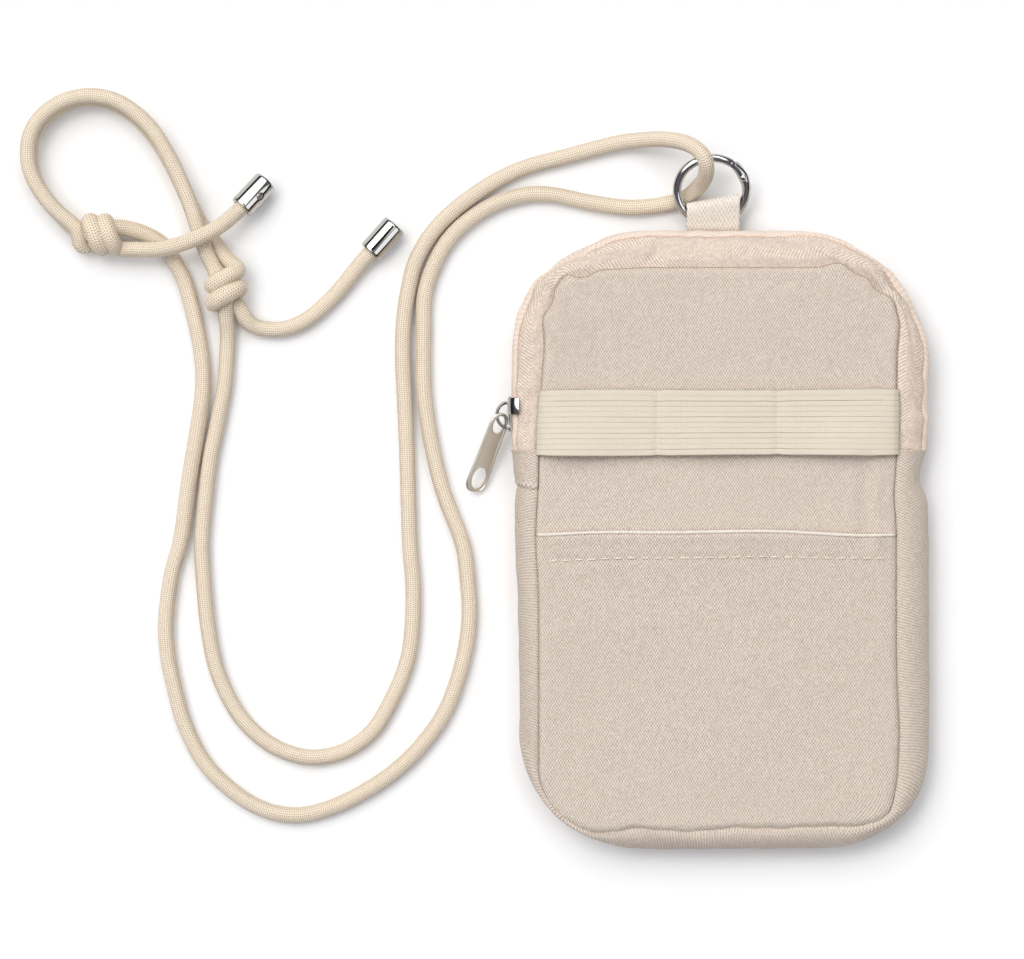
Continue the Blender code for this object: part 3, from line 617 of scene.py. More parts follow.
CANVAS = canvas("canvas_cloth", srgb(238, 226, 215), srgb(174, 156, 140))
GUSSET = canvas("gusset_cloth", srgb(238, 226, 213), srgb(170, 152, 136), 0.92)
LINING = canvas("pocket_cloth", srgb(238, 227, 215), srgb(170, 152, 136))
# Much lighter canvas for the tube along the pocket's fold: painted highlight.
HEM_HIGHLIGHT = canvas("hem_highlight_cloth", srgb(255, 248, 238), srgb(222, 208, 193), 0.8, 0.5)
TAPE = herringbone("tape_cloth", srgb(246, 231, 217), srgb(180, 160, 144), 1.15)
WEB = canvas("loop_cloth", srgb(255, 250, 240), srgb(200, 186, 171), 1.2, 0.7)
EDGE = ribbed("tape_edge_cloth", srgb(242, 227, 213), srgb(186, 162, 143), 0.62, 0.9)
BAND = ribbed("elastic_cloth", srgb(218, 209, 191), srgb(192, 181, 162), RIB_PITCH)
BRAID = cord_cloth()
NICKEL = metal("nickel_plate", (0.52, 0.505, 0.475), 0.07, 0.03)
PULL_METAL = metal("satin_nickel", (0.80, 0.765, 0.68), 0.30, 0.06)
CHROME = metal("chrome_plate", (0.60, 0.59, 0.575), 0.04, 0.02)
STEEL = metal("steel_plate", (0.5, 0.5, 0.5), 0.22)
PEACH = thread("peach_thread", srgb(232, 196, 168), srgb(206, 164, 134))
CREAM = thread("cream_thread", srgb(246, 236, 220), srgb(222, 206, 188))
# A brownish thread colour laid in the front seam's groove: painted shade.
SHADE = thread("painted_seam_shade", srgb(192, 168, 146), srgb(154, 128, 107))
HEMMING = thread("hem_thread", srgb(244, 232, 217), srgb(216, 201, 184))
# A darker copy of the nickel for the slider's wire: painted dark reflections.
NICKEL_PAINTED_DARK = metal("nickel_dark_reflection", (0.22, 0.215, 0.21), 0.08, 0.03)
COIL = nylon("coil_nylon", srgb(236, 214, 196), srgb(214, 186, 164))


# ---------------------------------------------------------------- camera, light and floor

FLOOR_HALF, FLOOR_Z = 8.0, -0.0002
# The studio's light by direction: where a box aims, its soft edge as cosines, and its colour.
WALLS = (0.15, 0.16, 0.19)
BOXES = [
    ((-0.26, 0.36, 0.896), 0.70, 0.78, (2.62, 2.61, 2.62)),
    ((0.62, -0.36, 0.697), 0.93, 0.95, (1.7, 1.74, 1.8)),
    ((0.0, 0.0, 1.0), 0.962, 0.968, (0.03, 0.03, 0.034)),
]
HORIZON, HORIZON_EDGE = (0.035, 0.036, 0.04), (0.30, 0.52)
STRENGTH = 0.95
SUN_FROM, SUN_ENERGY, SUN_DEGREES = (-0.30, 0.34, 1.0), 0.55, 20


def make_camera():
    camera = bpy.data.cameras.new("camera")
    camera.lens, camera.sensor_width = LENS, SENSOR
    camera.clip_start, camera.clip_end = 0.05, 20.0
    holder = link(bpy.data.objects.new("camera", camera))
    height = VIEW_WIDTH * LENS / SENSOR
    holder.location = (CAMERA_AT[0] * MM, CAMERA_AT[1] * MM, height * MM)
    bpy.context.scene.camera = holder


def make_floor():
    floor = bpy.data.meshes.new("floor")
    corners = [(-1, -1), (1, -1), (1, 1), (-1, 1)]
    floor.from_pydata([(x * FLOOR_HALF, y * FLOOR_HALF, FLOOR_Z) for x, y in corners], [], [(0, 1, 2, 3)])
    floor.materials.append(new_paint("floor").done((0.92, 0.92, 0.92), 0.9))
    link(bpy.data.objects.new("floor", floor))


def make_light():
    world = bpy.data.worlds.new("studio")
    bpy.context.scene.world = world
    kit = Nodes(world)
    way = kit.node("TexCoord", output="Generated")

    def inside(direction, low, high):
        """1 where a direction is inside a round box, 0 outside it."""
        facing = kit.node("VectorMath", ((0, way), (1, direction)), "Value", operation="DOT_PRODUCT")
        return kit.fade(facing, low, high)

    tone = WALLS
    for direction, low, high, colour in BOXES:
        tone = kit.blend(inside(direction, low, high), tone, colour)
    tone = kit.blend(inside(UP, *HORIZON_EDGE), HORIZON, tone)
    for name, value in (("Color", tone), ("Strength", STRENGTH)):
        kit.wire(value, kit.tree.nodes["Background"].inputs[name])

    sun = bpy.data.lights.new("key", "SUN")
    sun.energy = SUN_ENERGY
    sun.angle = math.radians(SUN_DEGREES)
    sun.color = (1.0, 0.985, 0.96)
    lamp = link(bpy.data.objects.new("key", sun))
    lamp.rotation_euler = Vector(SUN_FROM).to_track_quat("Z", "Y").to_euler()
    settings = bpy.context.scene.view_settings
    settings.view_transform = "Standard"
    settings.look = "None"


make_camera()
make_floor()
make_light()


# ---------------------------------------------------------------- cord


def knot_turns(centre, axis, way, turns, length, radius, first, skew):
    """Turns of the cord round a knot's core, along x (axis 0) or y (1), from an angle in degrees."""
    share = np.linspace(0, 1, int(turns * 10) + 1)
    angle = np.radians(first + way * 360 * turns * share)
    across, up = radius * np.cos(angle), radius * np.sin(angle)
    points = np.stack([across, across, up], -1)
    points[:, axis] = length * (0.5 - share) + skew * across * np.where(up > 0, 1, 0.3)
    return (points + centre).tolist()


def cord_path():
    """The cord's centre line, with its turns and joints evened out."""
    route = TAIL_A + knot_turns(*KNOT_LEFT) + BIGHT + UPPER + MAIN + LOWER + knot_turns(*KNOT_RIGHT) + TAIL_B
    line = smooth_line([(x, y, *(z or [CORD_R])) for x, y, *z in route], CORD_STEP)
    half = 6
    weights = hump(np.arange(-half, half + 1), 0, 2.6)
    weights /= weights.sum()
    padded = np.pad(line, ((half, half), (0, 0)), mode="reflect", reflect_type="odd")
    line = np.stack([np.convolve(padded[:, k], weights, "valid") for k in range(3)], -1)
    line[:, 2] = np.maximum(line[:, 2], CORD_R)
    return line


def make_cord():
    line = cord_path()
    ridge = RIDGE * np.cos(CORD_COLUMNS * circle(CORD_SIDES))
    near = sum(np.exp(-(np.linalg.norm(line - np.array(k), axis=1) / SWELL_REACH) ** 4) for k in SWELLS)
    radius = (CORD_R - RIDGE_SEAT) * (1 + SWELL * near)[:, None] + ridge[None, :]
    cord = tube_object("neck_cord", line, radius, CORD_SIDES, BRAID)
    settle(cord, "pouch", "cord", "cord_main", "cord_loop_upper", "cord_loop_lower",
           "cord_tail_left", "cord_tail_right", "knot_left", "knot_right")
    return cord, line, lengths(line)[-1]


def make_cap(side, mouth, end, screw_direction):
    """A turned cup with a rolled mouth, and the slotted set screw in its wall."""
    mouth, end = Vector(mouth), Vector(end)
    axis = (end - mouth).normalized()
    cap = lathe(f"cord_cap_{side}", CAP_PROFILE, NICKEL, turned_at(mouth, aim(axis)), 72)
    out = Vector(screw_direction)
    out = (out - out.dot(axis) * axis).normalized()
    seat = mouth + axis * SCREW_ALONG + out * SCREW_OUT
    place = turned_at(seat, aim(out))
    with editing(cap.data) as shape:
        bmesh.ops.holes_fill(shape, edges=shape.edges)
    cut(cap, lathe("hole", [(0, -1.8), (1.35, -1.8), (1.35, 1.2), (0, 1.2)], NICKEL, place, 32))
    sharp_by_angle(cap, 35)
    settle(cap, "pouch", "nickel", f"cord_end_cap_{side}")
    screw = lathe(f"cap_screw_{side}", SCREW_PROFILE, STEEL, place, 32)
    slot = box_object("slot", (-1.4, -0.16, -0.55), (1.4, 0.16, 0.3), STEEL)
    slot.data.transform(place)
    cut(screw, slot)
    sharp_by_angle(screw, 30)
    settle(screw, "pouch", "steel", f"set_screw_{side}")
    return [cap, screw]


CORD, CORD_LINE, CORD_LENGTH = make_cord()
CAPS = make_cap("left", *CAP_A) + make_cap("right", *CAP_B)


# ---------------------------------------------------------------- pouch shell


def outline(t, upper, end_y, spec):
    """Points and outward directions of a rounded outline. t runs 0..5: side, corner, end, corner, side."""
    half_w, half_h, (cx, cy), radii = spec
    left_r, right_r = radii[:2] if upper else radii[2:]
    way = 1 if upper else -1
    k = np.clip(np.floor(t), 0, 4).astype(int)
    f = t - k
    o = 0 * f
    left, right, high = cx - half_w, cx + half_w, cy + way * half_h
    low_left, low_right = high - way * left_r, high - way * right_r
    a_left = math.pi - way * f * math.pi / 2
    a_right = way * (1 - f) * math.pi / 2
    stretches = np.array([
        (left + o, end_y + (low_left - end_y) * f, o - 1, o),
        (left + left_r + left_r * np.cos(a_left), low_left + left_r * np.sin(a_left),
         np.cos(a_left), np.sin(a_left)),
        ((left + left_r) * (1 - f) + (right - right_r) * f, high + o, o, way + o),
        (right - right_r + right_r * np.cos(a_right), low_right + right_r * np.sin(a_right),
         np.cos(a_right), np.sin(a_right)),
        (right + o, low_right + (end_y - low_right) * f, o + 1, o),
    ])
    found = stretches[k, :, np.arange(len(t))]
    return found[:, :2], found[:, 2:]


def steps_of(upper, end_y, step, close=0.0):
    """Steps of t along the front outline and the length at each, finer within close of the ends."""
    fine = np.linspace(0, 5, 4001)
    along = lengths(outline(fine, upper, end_y, FRONT)[0])
    length = along[-1]
    even = np.linspace(close, length - close, int((length - 2 * close) / step) + 1)
    if close:
        ends = np.arange(0, close, 0.3)
        even = np.concatenate([ends, even, length - ends[::-1]])
    return np.interp(even, along, fine), even


def side_points(t, upper, end_y, angles):
    """The pouch's side at each t and each angle from the front seam (90) round to the back seam (-90)."""
    front = moved(outline(t, upper, end_y, FRONT)[0], PUCKERS)
    middle = moved(outline(t, upper, end_y, SIDE)[0], BULGES)
    back = outline(t, upper, end_y, BACK)[0]
    rows = []
    for angle in np.radians(angles):
        c, s = math.cos(angle), math.sin(angle)
        inner, seam_z = (front, FRONT_Z) if s > 0 else (back, BACK_Z)
        xy = inner + (middle - inner) * c ** ROUNDNESS
        rows.append(raised(xy, MIDDLE_Z + abs(seam_z - MIDDLE_Z) * s))
    return np.stack(rows, axis=1)


def side_normals(points):
    normal = np.cross(np.gradient(points, axis=0), np.gradient(points, axis=1))
    normal /= np.maximum(np.linalg.norm(normal, axis=2), 1e-9)[..., None]
    return normal * np.sign(((points - (0.0, 0.0, MIDDLE_Z)) * normal).sum(-1).mean())


def strip_uv(points, along):
    """uv in millimetres: along the strip and across it."""
    steps = np.cumsum(np.linalg.norm(np.diff(points, axis=1), axis=2), axis=1)
    across = np.concatenate([np.zeros((len(points), 1)), steps], axis=1)
    return np.stack([np.broadcast_to(along[:, None], across.shape), across], -1)


def corner_share(t):
    """1 in the middle of a corner, 0 on the straights."""
    return sum(np.maximum(0, np.sin(np.pi * np.clip(t - start, 0, 1))) for start in (1, 3))


def seam_drop(size):
    """How far a strip dips into the seam at each end of its profile, by the size of its angle."""
    return 0.7 * hump(size, 90, 7.0)


def pushed_side(t, upper, end_y, angles, floor, lift):
    """The side pushed out along its normals by lift(points, angle sizes), no lower than a floor."""
    points = side_points(t, upper, end_y, angles)
    normal = side_normals(points)
    size = np.abs(angles)
    points = points + normal * (lift(points, size) - seam_drop(size)[None, :])[..., None]
    points[..., 2] = np.maximum(points[..., 2], floor)
    return points, normal


def make_gusset():
    t, along = steps_of(False, GUSSET_TOP, 1.0, 15.0)
    ends = np.minimum(along, along[-1] - along)
    ridge = 0.5 * hump(along, 12.0, 0.5) - 0.15 * hump(along, 13.2, 0.8)
    lip = 0.3 * hump(ends, 0, 0.9) + 0.3 * ease(-along, -12.2, -11.6)

    def lift(points, size):
        mid = np.sin(np.radians(90 - size))[None, :]
        folds = flat_waves(*np.meshgrid(along, 1.5 * mid[0], indexing="ij"), 9.0, 3)
        broad = waves(points, 26.0, 4, 2)
        push = (0.22 + 0.25 * corner_share(t))[:, None] * folds * mid + 0.5 * broad * mid - 1.2 * mid
        return push + (ridge + lip)[:, None]

    points, normal = pushed_side(t, False, GUSSET_TOP, np.linspace(90, -90, GUSSET_ROWS), 0.35, lift)
    gusset = cloth("gusset_cloth", points, strip_uv(points, along), GUSSET, 0.8)
    settle(gusset, "pouch", "canvas", "lower_gusset")
    for number, row in enumerate((8, len(points) - 9)):
        stitches(f"gusset_stitches_{number}", points[row, 2:-2], normal[row, 2:-2], 2.9, 2.1, 0.13,
                 HEMMING, "pouch", "canvas", 0.03)


def capsules(centres, ways, length, radius, ups, sides=6):
    """Short rounded and slightly arched threads, as points and faces."""
    profile = np.array([(-0.5, 0.35), (-0.36, 0.9), (0.0, 1.0), (0.36, 0.9), (0.5, 0.35)])
    along, size = profile[:, :1], profile[:, 1:]
    ways = unit(ways)
    ups = unit(ups - (ups * ways).sum(-1, keepdims=True) * ways)
    points = centres[:, None, None]
    for share, axes in ((length * along, ways), (radius * size * np.cos(circle(sides)), np.cross(ways, ups)),
                        (radius * (0.5 - 2 * along ** 2 + size * np.sin(circle(sides))), ups)):
        points = points + share[None, ..., None] * axes[:, None, None]
    count = len(profile) * sides
    quads, _ = grid_faces(len(profile), sides, False, True)
    one = [(quad[0], *quad[:0:-1]) for quad in quads]
    one += [tuple(range(sides))[::-1], tuple(range(count - sides, count))]
    faces = [tuple(base * count + k for k in face) for base in range(len(centres)) for face in one]
    return points.reshape(-1, 3), faces


def stitches(name, line, ups, pitch, length, radius, paint, body, slot, lift=0.05):
    """A row of stitches along a line of points."""
    along = lengths(line)
    at = np.arange(pitch * 0.6, along[-1] - pitch * 0.5, pitch)
    centres = sample(at, along, line)
    up = unit(sample(at, along, np.broadcast_to(ups, line.shape)))
    ways = sample(at + 0.3, along, line) - centres
    settle(mesh_object(name, *capsules(centres + up * lift, ways, length, radius, up), paint), body, slot)


def make_tapes():
    """The two zip tapes, from each seam to the covered coil, and their rows of peach stitching."""
    t, along = steps_of(True, TAPE_LOW, 0.9)
    profile = np.concatenate([np.linspace(90, 40, 20), np.linspace(38, 34, 4), np.linspace(31, 5, 11),
                              [3.6, 3.0]])
    split = 23
    stitched = int(np.argmin(np.abs(profile - STITCH_ANGLE)))
    for name, body, sign in (("front", SIDE_BEND, 1), ("back", "pouch", -1)):
        def lift(points, size):
            mid = (np.clip((90 - size) / 14, 0, 1) * np.clip((size - 2) / 30, 0, 1))[None, :]
            folds = flat_waves(*np.meshgrid(along, size / 6, indexing="ij"), 7.5, 7 + sign)
            folds = (0.8 + 2.0 * corner_share(t))[:, None] * folds * mid
            groove = 0.34 * hump(size, STITCH_ANGLE, 2.2) + 0.5 * hump(size, 2.6, 2.0)
            cover = 0.45 * hump(size, 24, 9.0)
            return folds + 0.5 * waves(points, 22.0, 9, 2) * mid + (cover - groove)[None, :]

        points, normal = pushed_side(t, True, TAPE_LOW, profile * sign, 0.3, lift)
        uv = strip_uv(points, along)
        tape = cloth(f"zip_tape_{name}", points[:, :split], uv[:, :split], TAPE, 0.6, sign < 0)
        settle(tape, body, "zip_tape", f"zipper_tape_{name}")
        edge = cloth(f"zip_edge_{name}", points[:, split - 1:], uv[:, split - 1:], EDGE, 0.6, sign < 0)
        settle(edge, body, "zip_tape")
        stitches(f"zip_stitches_{name}", points[:, stitched], normal[:, stitched], 1.15, 0.9, 0.17, PEACH,
                 body, "zip_tape")
        coil_t, coil_along = steps_of(True, COIL_LOW, 0.31)
        core = side_points(coil_t, True, COIL_LOW, [sign * 9.5])[:, 0]
        inward = side_normals(side_points(coil_t, True, COIL_LOW, [12.0, 9.5, 7.0]))[:, 1]
        teeth = 0.5 + 0.16 * np.cos(2 * math.pi * coil_along / 1.24 + (math.pi if sign > 0 else 0))
        coil = tube_object(f"zip_coil_{name}", core - inward * 1.45, teeth[:, None], 10, COIL)
        settle(coil, body, "zip_coil", f"zipper_coil_{name}")


def panel_distance(x, y, spec):
    """How far inside a rounded outline a point is, in millimetres."""
    half_w, half_h, (cx, cy), radii = spec
    px, py = x - cx, y - cy
    r = np.where(py > 0, np.where(px < 0, radii[0], radii[1]), np.where(px < 0, radii[2], radii[3]))
    qx, qy = np.abs(px) - half_w + r, np.abs(py) - half_h + r
    return -(np.minimum(np.maximum(qx, qy), 0) + np.hypot(np.maximum(qx, 0), np.maximum(qy, 0)) - r)


def panel_grid(spec, high=None, step=1.0):
    """Points filling an outline up to a height, with the rows closest at its ends."""
    half_w, half_h, (cx, cy), radii = spec
    bend = radii[0] * np.sin(np.radians(np.linspace(0, 90, 32)))
    start = (cy - half_h + radii[0] - bend)[::-1]
    stop = cy + half_h - radii[0] + bend if high is None else high - np.array([0.5, 0.15, 0.0])
    between = np.linspace(start[-1], stop[0], int((stop[0] - start[-1]) / step) + 1)[1:-1]
    columns = np.linspace(-1, 1, int(2 * half_w / step) + 1)
    columns = np.sign(columns) * (1 - (1 - np.abs(columns)) ** 1.06)
    rows = []
    for y in np.concatenate([start, between, stop]):
        ends = []
        for sign, r in zip((-1, 1), radii[:2] if y > cy else radii[2:]):
            over = max(0.0, abs(y - cy) - (half_h - r))
            pull = r - math.sqrt(max(0.0, r * r - over * over))
            ends.append(cx + sign * (half_w - pull))
        x = ends[0] + (ends[1] - ends[0]) * (columns + 1) / 2
        rows.append(np.stack([x, np.full(len(x), y)], -1))
    return np.stack(rows)


def front_height(x, y):
    """The front cloth's height over its flat place: a slight crown, slack and a crease."""
    crown = 0.55 * np.clip(1 - (x / 60) ** 2, 0, 1) * np.clip(1 - (y / 95) ** 2, 0, 1)
    slack = 0.42 * flat_waves(x, y, 34.0, 11, 2) + 0.10 * flat_waves(x, y, 9.0, 12, 2)
    crease = 0.9 * hump(x - 0.02 * (y - 15), 49.4, 1.6) - hump(x, 46.0, 3.0)
    corner = np.minimum(np.hypot(x + 46, y - 76), np.hypot(x - 46, y - 76))
    corner = 0.45 * flat_waves(x, y, 7.0, 13, 2) * np.exp(-corner ** 2 / 220)
    return crown + slack + crease * ease(y, -4, 4) * ease(-y, -31, -24) + corner


def edge_roll(distance, depth, reach):
    """Cloth turning down into its seam."""
    return -depth * (1 - np.clip(distance / reach, 0, 1)) ** 2


def make_front():
    flat = panel_grid(FRONT)
    x, y = flat[..., 0], flat[..., 1]
    distance = panel_distance(x, y, FRONT)
    under_pocket = 0.35 * ease(-y, -1.0, 3.0)
    z = TOP_Z + front_height(x, y) * ease(distance, 0, 9) + edge_roll(distance, 1.1, 2.0) - under_pocket
    front = cloth("front_cloth", raised(moved(flat, PUCKERS), z), flat, CANVAS, 0.9, True)
    settle(front, FRONT_BEND, "canvas", "front_panel_lower", "front_panel_upper")


def edge_line(spec, upper, end_y, step, inset, z):
    """Points along an outline, drawn in by inset. The front's has its puckers."""
    points, out = outline(steps_of(upper, end_y, step)[0], upper, end_y, spec)
    return raised((moved(points, PUCKERS) if spec is FRONT else points) - out * inset, z)


def make_seams():
    """A brownish tube that fills the groove between the front and the sides: painted shade for the shaded
    seam.
    """
    for name, body, upper, end_y in (("upper", FRONT_BEND, True, TAPE_LOW),
                                     ("lower", "pouch", False, GUSSET_TOP)):
        line = edge_line(FRONT, upper, end_y, 0.8, 0, FRONT_Z - 1.2)
        settle(tube_object(f"seam_shade_tube_{name}", line, 0.68, 10, SHADE), body, "binding")


def pocket_height(x, y):
    """The pocket's height over the front: its hem, its gaping lip and its stitched groove."""
    lip = 0.35 * hump(y, POCKET_TOP - 0.6, 1.6)
    gape = 0.8 * hump(y, POCKET_TOP, 9.0) * (0.6 + 0.8 * hump(x, 20, 30))
    seam = 0.28 * hump(y, pocket_seam(x) - 0.2, 0.8)
    return 0.18 * ease(y, -5.2, -4.2) + lip + gape - seam + 0.18 * flat_waves(x, y, 14.0, 21)


def pocket_seam(x):
    return -4.4 - 0.00028 * (x - 10) ** 2


def pocket_edge(x):
    return POCKET_TOP + 1.0 * np.clip(1 - ((x + 5) / 48) ** 2, 0, 1) + 0.25 * np.sin(x / 9.0)


def pocket_z(x, y, flat_y):
    swell = (front_height(x, y) + pocket_height(x, y)) * ease(panel_distance(x, flat_y, FRONT), 0, 8)
    return TOP_Z + POCKET_LIFT + swell


def make_pocket():
    flat = panel_grid(FRONT, POCKET_TOP)
    x, flat_y = flat[..., 0], flat[..., 1]
    y = flat_y + (pocket_edge(x) - POCKET_TOP) * ease(flat_y, POCKET_TOP - 30, POCKET_TOP)
    z = pocket_z(x, y, flat_y) + edge_roll(panel_distance(x, flat_y, FRONT), 1.5, 2.4)
    z = z - 0.35 * hump(flat_y, POCKET_TOP, 0.55)
    uv = np.stack([x, y], -1)
    points = raised(moved(uv, PUCKERS), z)
    pocket = cloth("pocket_cloth", points, uv + 200.0, LINING, 0.55, True)
    settle(pocket, "pouch", "canvas", "pocket_panel")
    x = np.linspace(-55.5, 52.5, 220)
    y = pocket_seam(x) + 0.15 * np.sin(x / 7)
    line = raised(moved(np.stack([x, y], -1), PUCKERS), pocket_z(x, y, y))
    stitches("pocket_stitches", line, UP, 4.15, 2.75, 0.27, HEMMING, "pouch", "canvas", 0.1)
    # A lighter tube along the pocket's top edge: painted highlight on the fold.
    hem = points[-1][1:-1] + np.array((0.0, 0.1, 0.3))
    settle(tube_object("pocket_edge", hem, 0.55, 10, HEM_HIGHLIGHT), "pouch", "canvas")


def band_height(x, y):
    """The elastic's height: its ribs, its pinched stitch lines and its lifted lower edge."""
    share = (y - ELASTIC[0]) / (ELASTIC[1] - ELASTIC[0])
    rib = 0.09 * np.minimum(1.0, 1.9 * np.abs(np.sin(math.pi * (y - ELASTIC[0]) / RIB_PITCH)))
    pinch = sum(0.6 * hump(x, at, 1.2) for at in ELASTIC_SEAMS)
    lift = 0.3 + 1.5 * hump(x, -44, 11) + 1.2 * hump(x, 38, 10) + 0.7 * hump(x, -2, 12)
    return rib - pinch + lift * (1 - ease(share, 0.0, 0.85)) + 0.3


def make_elastic():
    xs = np.concatenate([[-58.6, -58.2], np.linspace(-57.6, 54.6, 170), [55.2, 55.6]])
    x, y = np.meshgrid(xs, np.linspace(*ELASTIC, 101))
    ends = np.minimum(x + 58.7, 55.7 - x)
    wave = 0.25 * np.sin(x / 14.0 + 1.0) + sum(0.35 * hump(x, at, 1.8) for at in ELASTIC_SEAMS)
    low = (ELASTIC[1] - y) / (ELASTIC[1] - ELASTIC[0])
    flat = np.stack([x, y + 1.2 * wave * (low - 0.5) + 0.0024 * (x + 2)], -1)
    z = TOP_Z + BAND_LIFT + front_height(x, y) * ease(ends, 0, 9) + band_height(x, y) * ease(ends, 0, 6)
    points = raised(moved(flat, PUCKERS), z - 1.6 * hump(ends, 0, 1.1))
    band = cloth("elastic_strap", points, np.stack([x, y - ELASTIC[0]], -1), BAND, 0.8)
    settle(band, "flap", "elastic", "elastic_band")
    for number, at in enumerate(ELASTIC_SEAMS):
        y = np.linspace(ELASTIC[0] + 0.5, ELASTIC[1] - 0.4, 60)
        x = at + 0.35 * np.sin(y / 3.1 + number)
        line = np.stack([x, y, TOP_Z + BAND_LIFT + front_height(x, y) + band_height(x, y)], -1)
        stitches(f"elastic_stitches_{number}", line, UP, 2.5, 1.9, 0.26, CREAM, "flap", "elastic", 0.12)


def make_back():
    flat = panel_grid(BACK, step=1.5)
    x, y = flat[..., 0], flat[..., 1]
    distance = panel_distance(x, y, BACK)
    sink = flat_waves(x, y, 30.0, 31, 2)
    z = 0.12 + 0.12 * (sink + 1) * ease(distance, 0, 10) - edge_roll(distance, 1.0, 2.0)
    settle(cloth("back_cloth", raised(flat, z), flat + 90.0, CANVAS, 1.1), "pouch", "canvas", "back_panel")


def make_bindings():
    """Folded tape over the raw seam edges inside the pouch."""
    for side, body, upper, end_y in (("lower", "pouch", False, 25.6), ("upper", "flap", True, 26.9)):
        line = edge_line(FRONT, upper, end_y, 1.5, BINDING_INSET, 15.2)
        ripple = 0.55 + 0.05 * np.sin(np.arange(len(line)) * 1.3)
        tape = tube_object(f"binding_tape_front_{side}", line, ripple[:, None], 10, EDGE, flat=1.5)
        settle(tape, body, "binding", f"binding_front_{side}")
    upper, lower = (edge_line(BACK, half, 0.0, 1.5, BINDING_INSET, 2.7) for half in (True, False))
    line = np.vstack([upper[:-1], lower[:0:-1]])
    tape = tube_object("binding_tape_back", line, 0.55, 10, EDGE, closed=True, flat=1.5)
    settle(tape, "pouch", "binding", "binding_back")


make_gusset()
make_tapes()
make_front()
make_seams()
make_pocket()
make_elastic()
make_back()
make_bindings()


# ---------------------------------------------------------------- loop, ring, slider and pull

RING_CENTRE = Vector((-3.1, 112.3, 9.0))
RING_R, RING_WIRE, RING_TILT = 11.1, 1.4, 25.0
RING_PLACE = turned_at(RING_CENTRE, Matrix.Rotation(math.radians(RING_TILT), 4, "X"))
PIN_ANGLE, SEAM_ANGLE, TIP_ANGLE = 26.0, 55.0, 92.0
GAP_ARC, GAP_HALF, TONGUE_HALF = (368, 424), 0.72, 0.6
RIVET_HALF = [(0.0, 2.35), (0.5, 2.28), (0.9, 2.1), (1.1, 1.84), (1.12, 1.5), (0.7, 1.3)]
CHAIN_X = -65.9
SLIDER_HIGH = 46.6
# Half the slider plate's height at steps along it, and its wall's section on one side.
SLIDER_EDGE = [(35.4, 2.3), (35.9, 2.9), (37.0, 3.15), (42.0, 3.3), (44.0, 3.35), (45.7, 3.1), (46.4, 2.4),
               (46.6, 1.4)]
SLIDER_WALL = [(-67.95, 11.4), (-67.7, 12.6), (-67.0, 13.6), (-65.8, 14.4), (-64.4, 15.1)]
BRIDGE_CENTRE, BRIDGE_REACH = (-68.3, 40.7), (3.2, 3.9)
# The right half of the pull's edge, from its eye to its far end.
PULL_EDGE = [(0.0, -3.25), (2.15, -2.4), (2.9, -0.4), (3.05, 4.0), (3.2, 9.0), (3.35, 14.0), (3.5, 20.5),
             (3.2, 22.4), (2.3, 23.7), (1.2, 24.2), (0.0, 24.35)]
PULL_AT, PULL_HEADING, PULL_DROP, PULL_ROLL = (-70.8, 38.2, 9.3), (-0.353, -0.936, 0.0), 16.0, -33.0
PULL_HALF = 0.26


def in_ring(points):
    """Points from the ring's own plane to the frame, in millimetres."""
    return np.asarray(points, float) @ np.array(RING_PLACE.to_3x3()).T + np.array(RING_CENTRE)


def on_ring(degrees):
    """Points on the ring wire's centre line."""
    angles = np.radians(degrees)
    return in_ring(np.stack([RING_R * np.cos(angles), RING_R * np.sin(angles), 0 * angles], -1))


def ring_arc(start, end):
    return on_ring(np.linspace(start, end, max(3, int(abs(end - start) / 2.0))))


def loop_column(share):
    """One lengthwise line of the folded tape. Its raw left side (share 0) hangs lower than its right."""
    half = 2.05
    across = -7.9 + 16.9 * share
    fold = -6.85 + 3.25 * share
    x = RING_CENTRE.x + across + 0.5 * math.sin(3 * share)
    turns = np.radians(np.arange(-60, 61, 30))
    bend = [(fold + half * math.cos(a), half * math.sin(a)) for a in turns]
    plane = [(-13.2, -half), (-10.0, -half), (fold, -half), *bend]
    plane += [(fold, half), (-10.0, half), (-12.6, half)]
    line = [(x, 94.8, 0.65), (x, 98.2, 0.8), *in_ring([(across, a, z) for a, z in plane])]
    return smooth_line([*line, (x, 98.6, 3.3), (x, 97.6, 2.0), (x, 96.2, 1.75)], 0.5)


def make_loop():
    """The tape folded round the ring, its ends in the seam."""
    columns = [loop_column(share) for share in np.linspace(0, 1, 25)]
    count = min(len(c) for c in columns)
    points = np.stack([sample(np.linspace(0, len(c) - 1, count), np.arange(len(c)), c) for c in columns])
    uv = grid_of(np.linspace(0, 17.5, len(points)), np.arange(count) * 0.5)
    settle(cloth("loop_tape", points, uv, WEB, 0.55, offset=0.0), "pouch", "loop_tape", "loop_tab")


def slab(half, reach=20.0):
    """A flat block in the ring's plane."""
    obj = box_object("slab", (-reach, -reach, -half), (reach, reach, half), CHROME)
    obj.data.transform(RING_PLACE)
    return obj


def trim(obj, point, direction):
    """Cuts off what lies past a point in a direction."""
    tool = box_object("block", (-4, -4, 0), (4, 4, 8), CHROME)
    tool.data.transform(turned_at(point, aim(direction)))
    return cut(obj, tool)


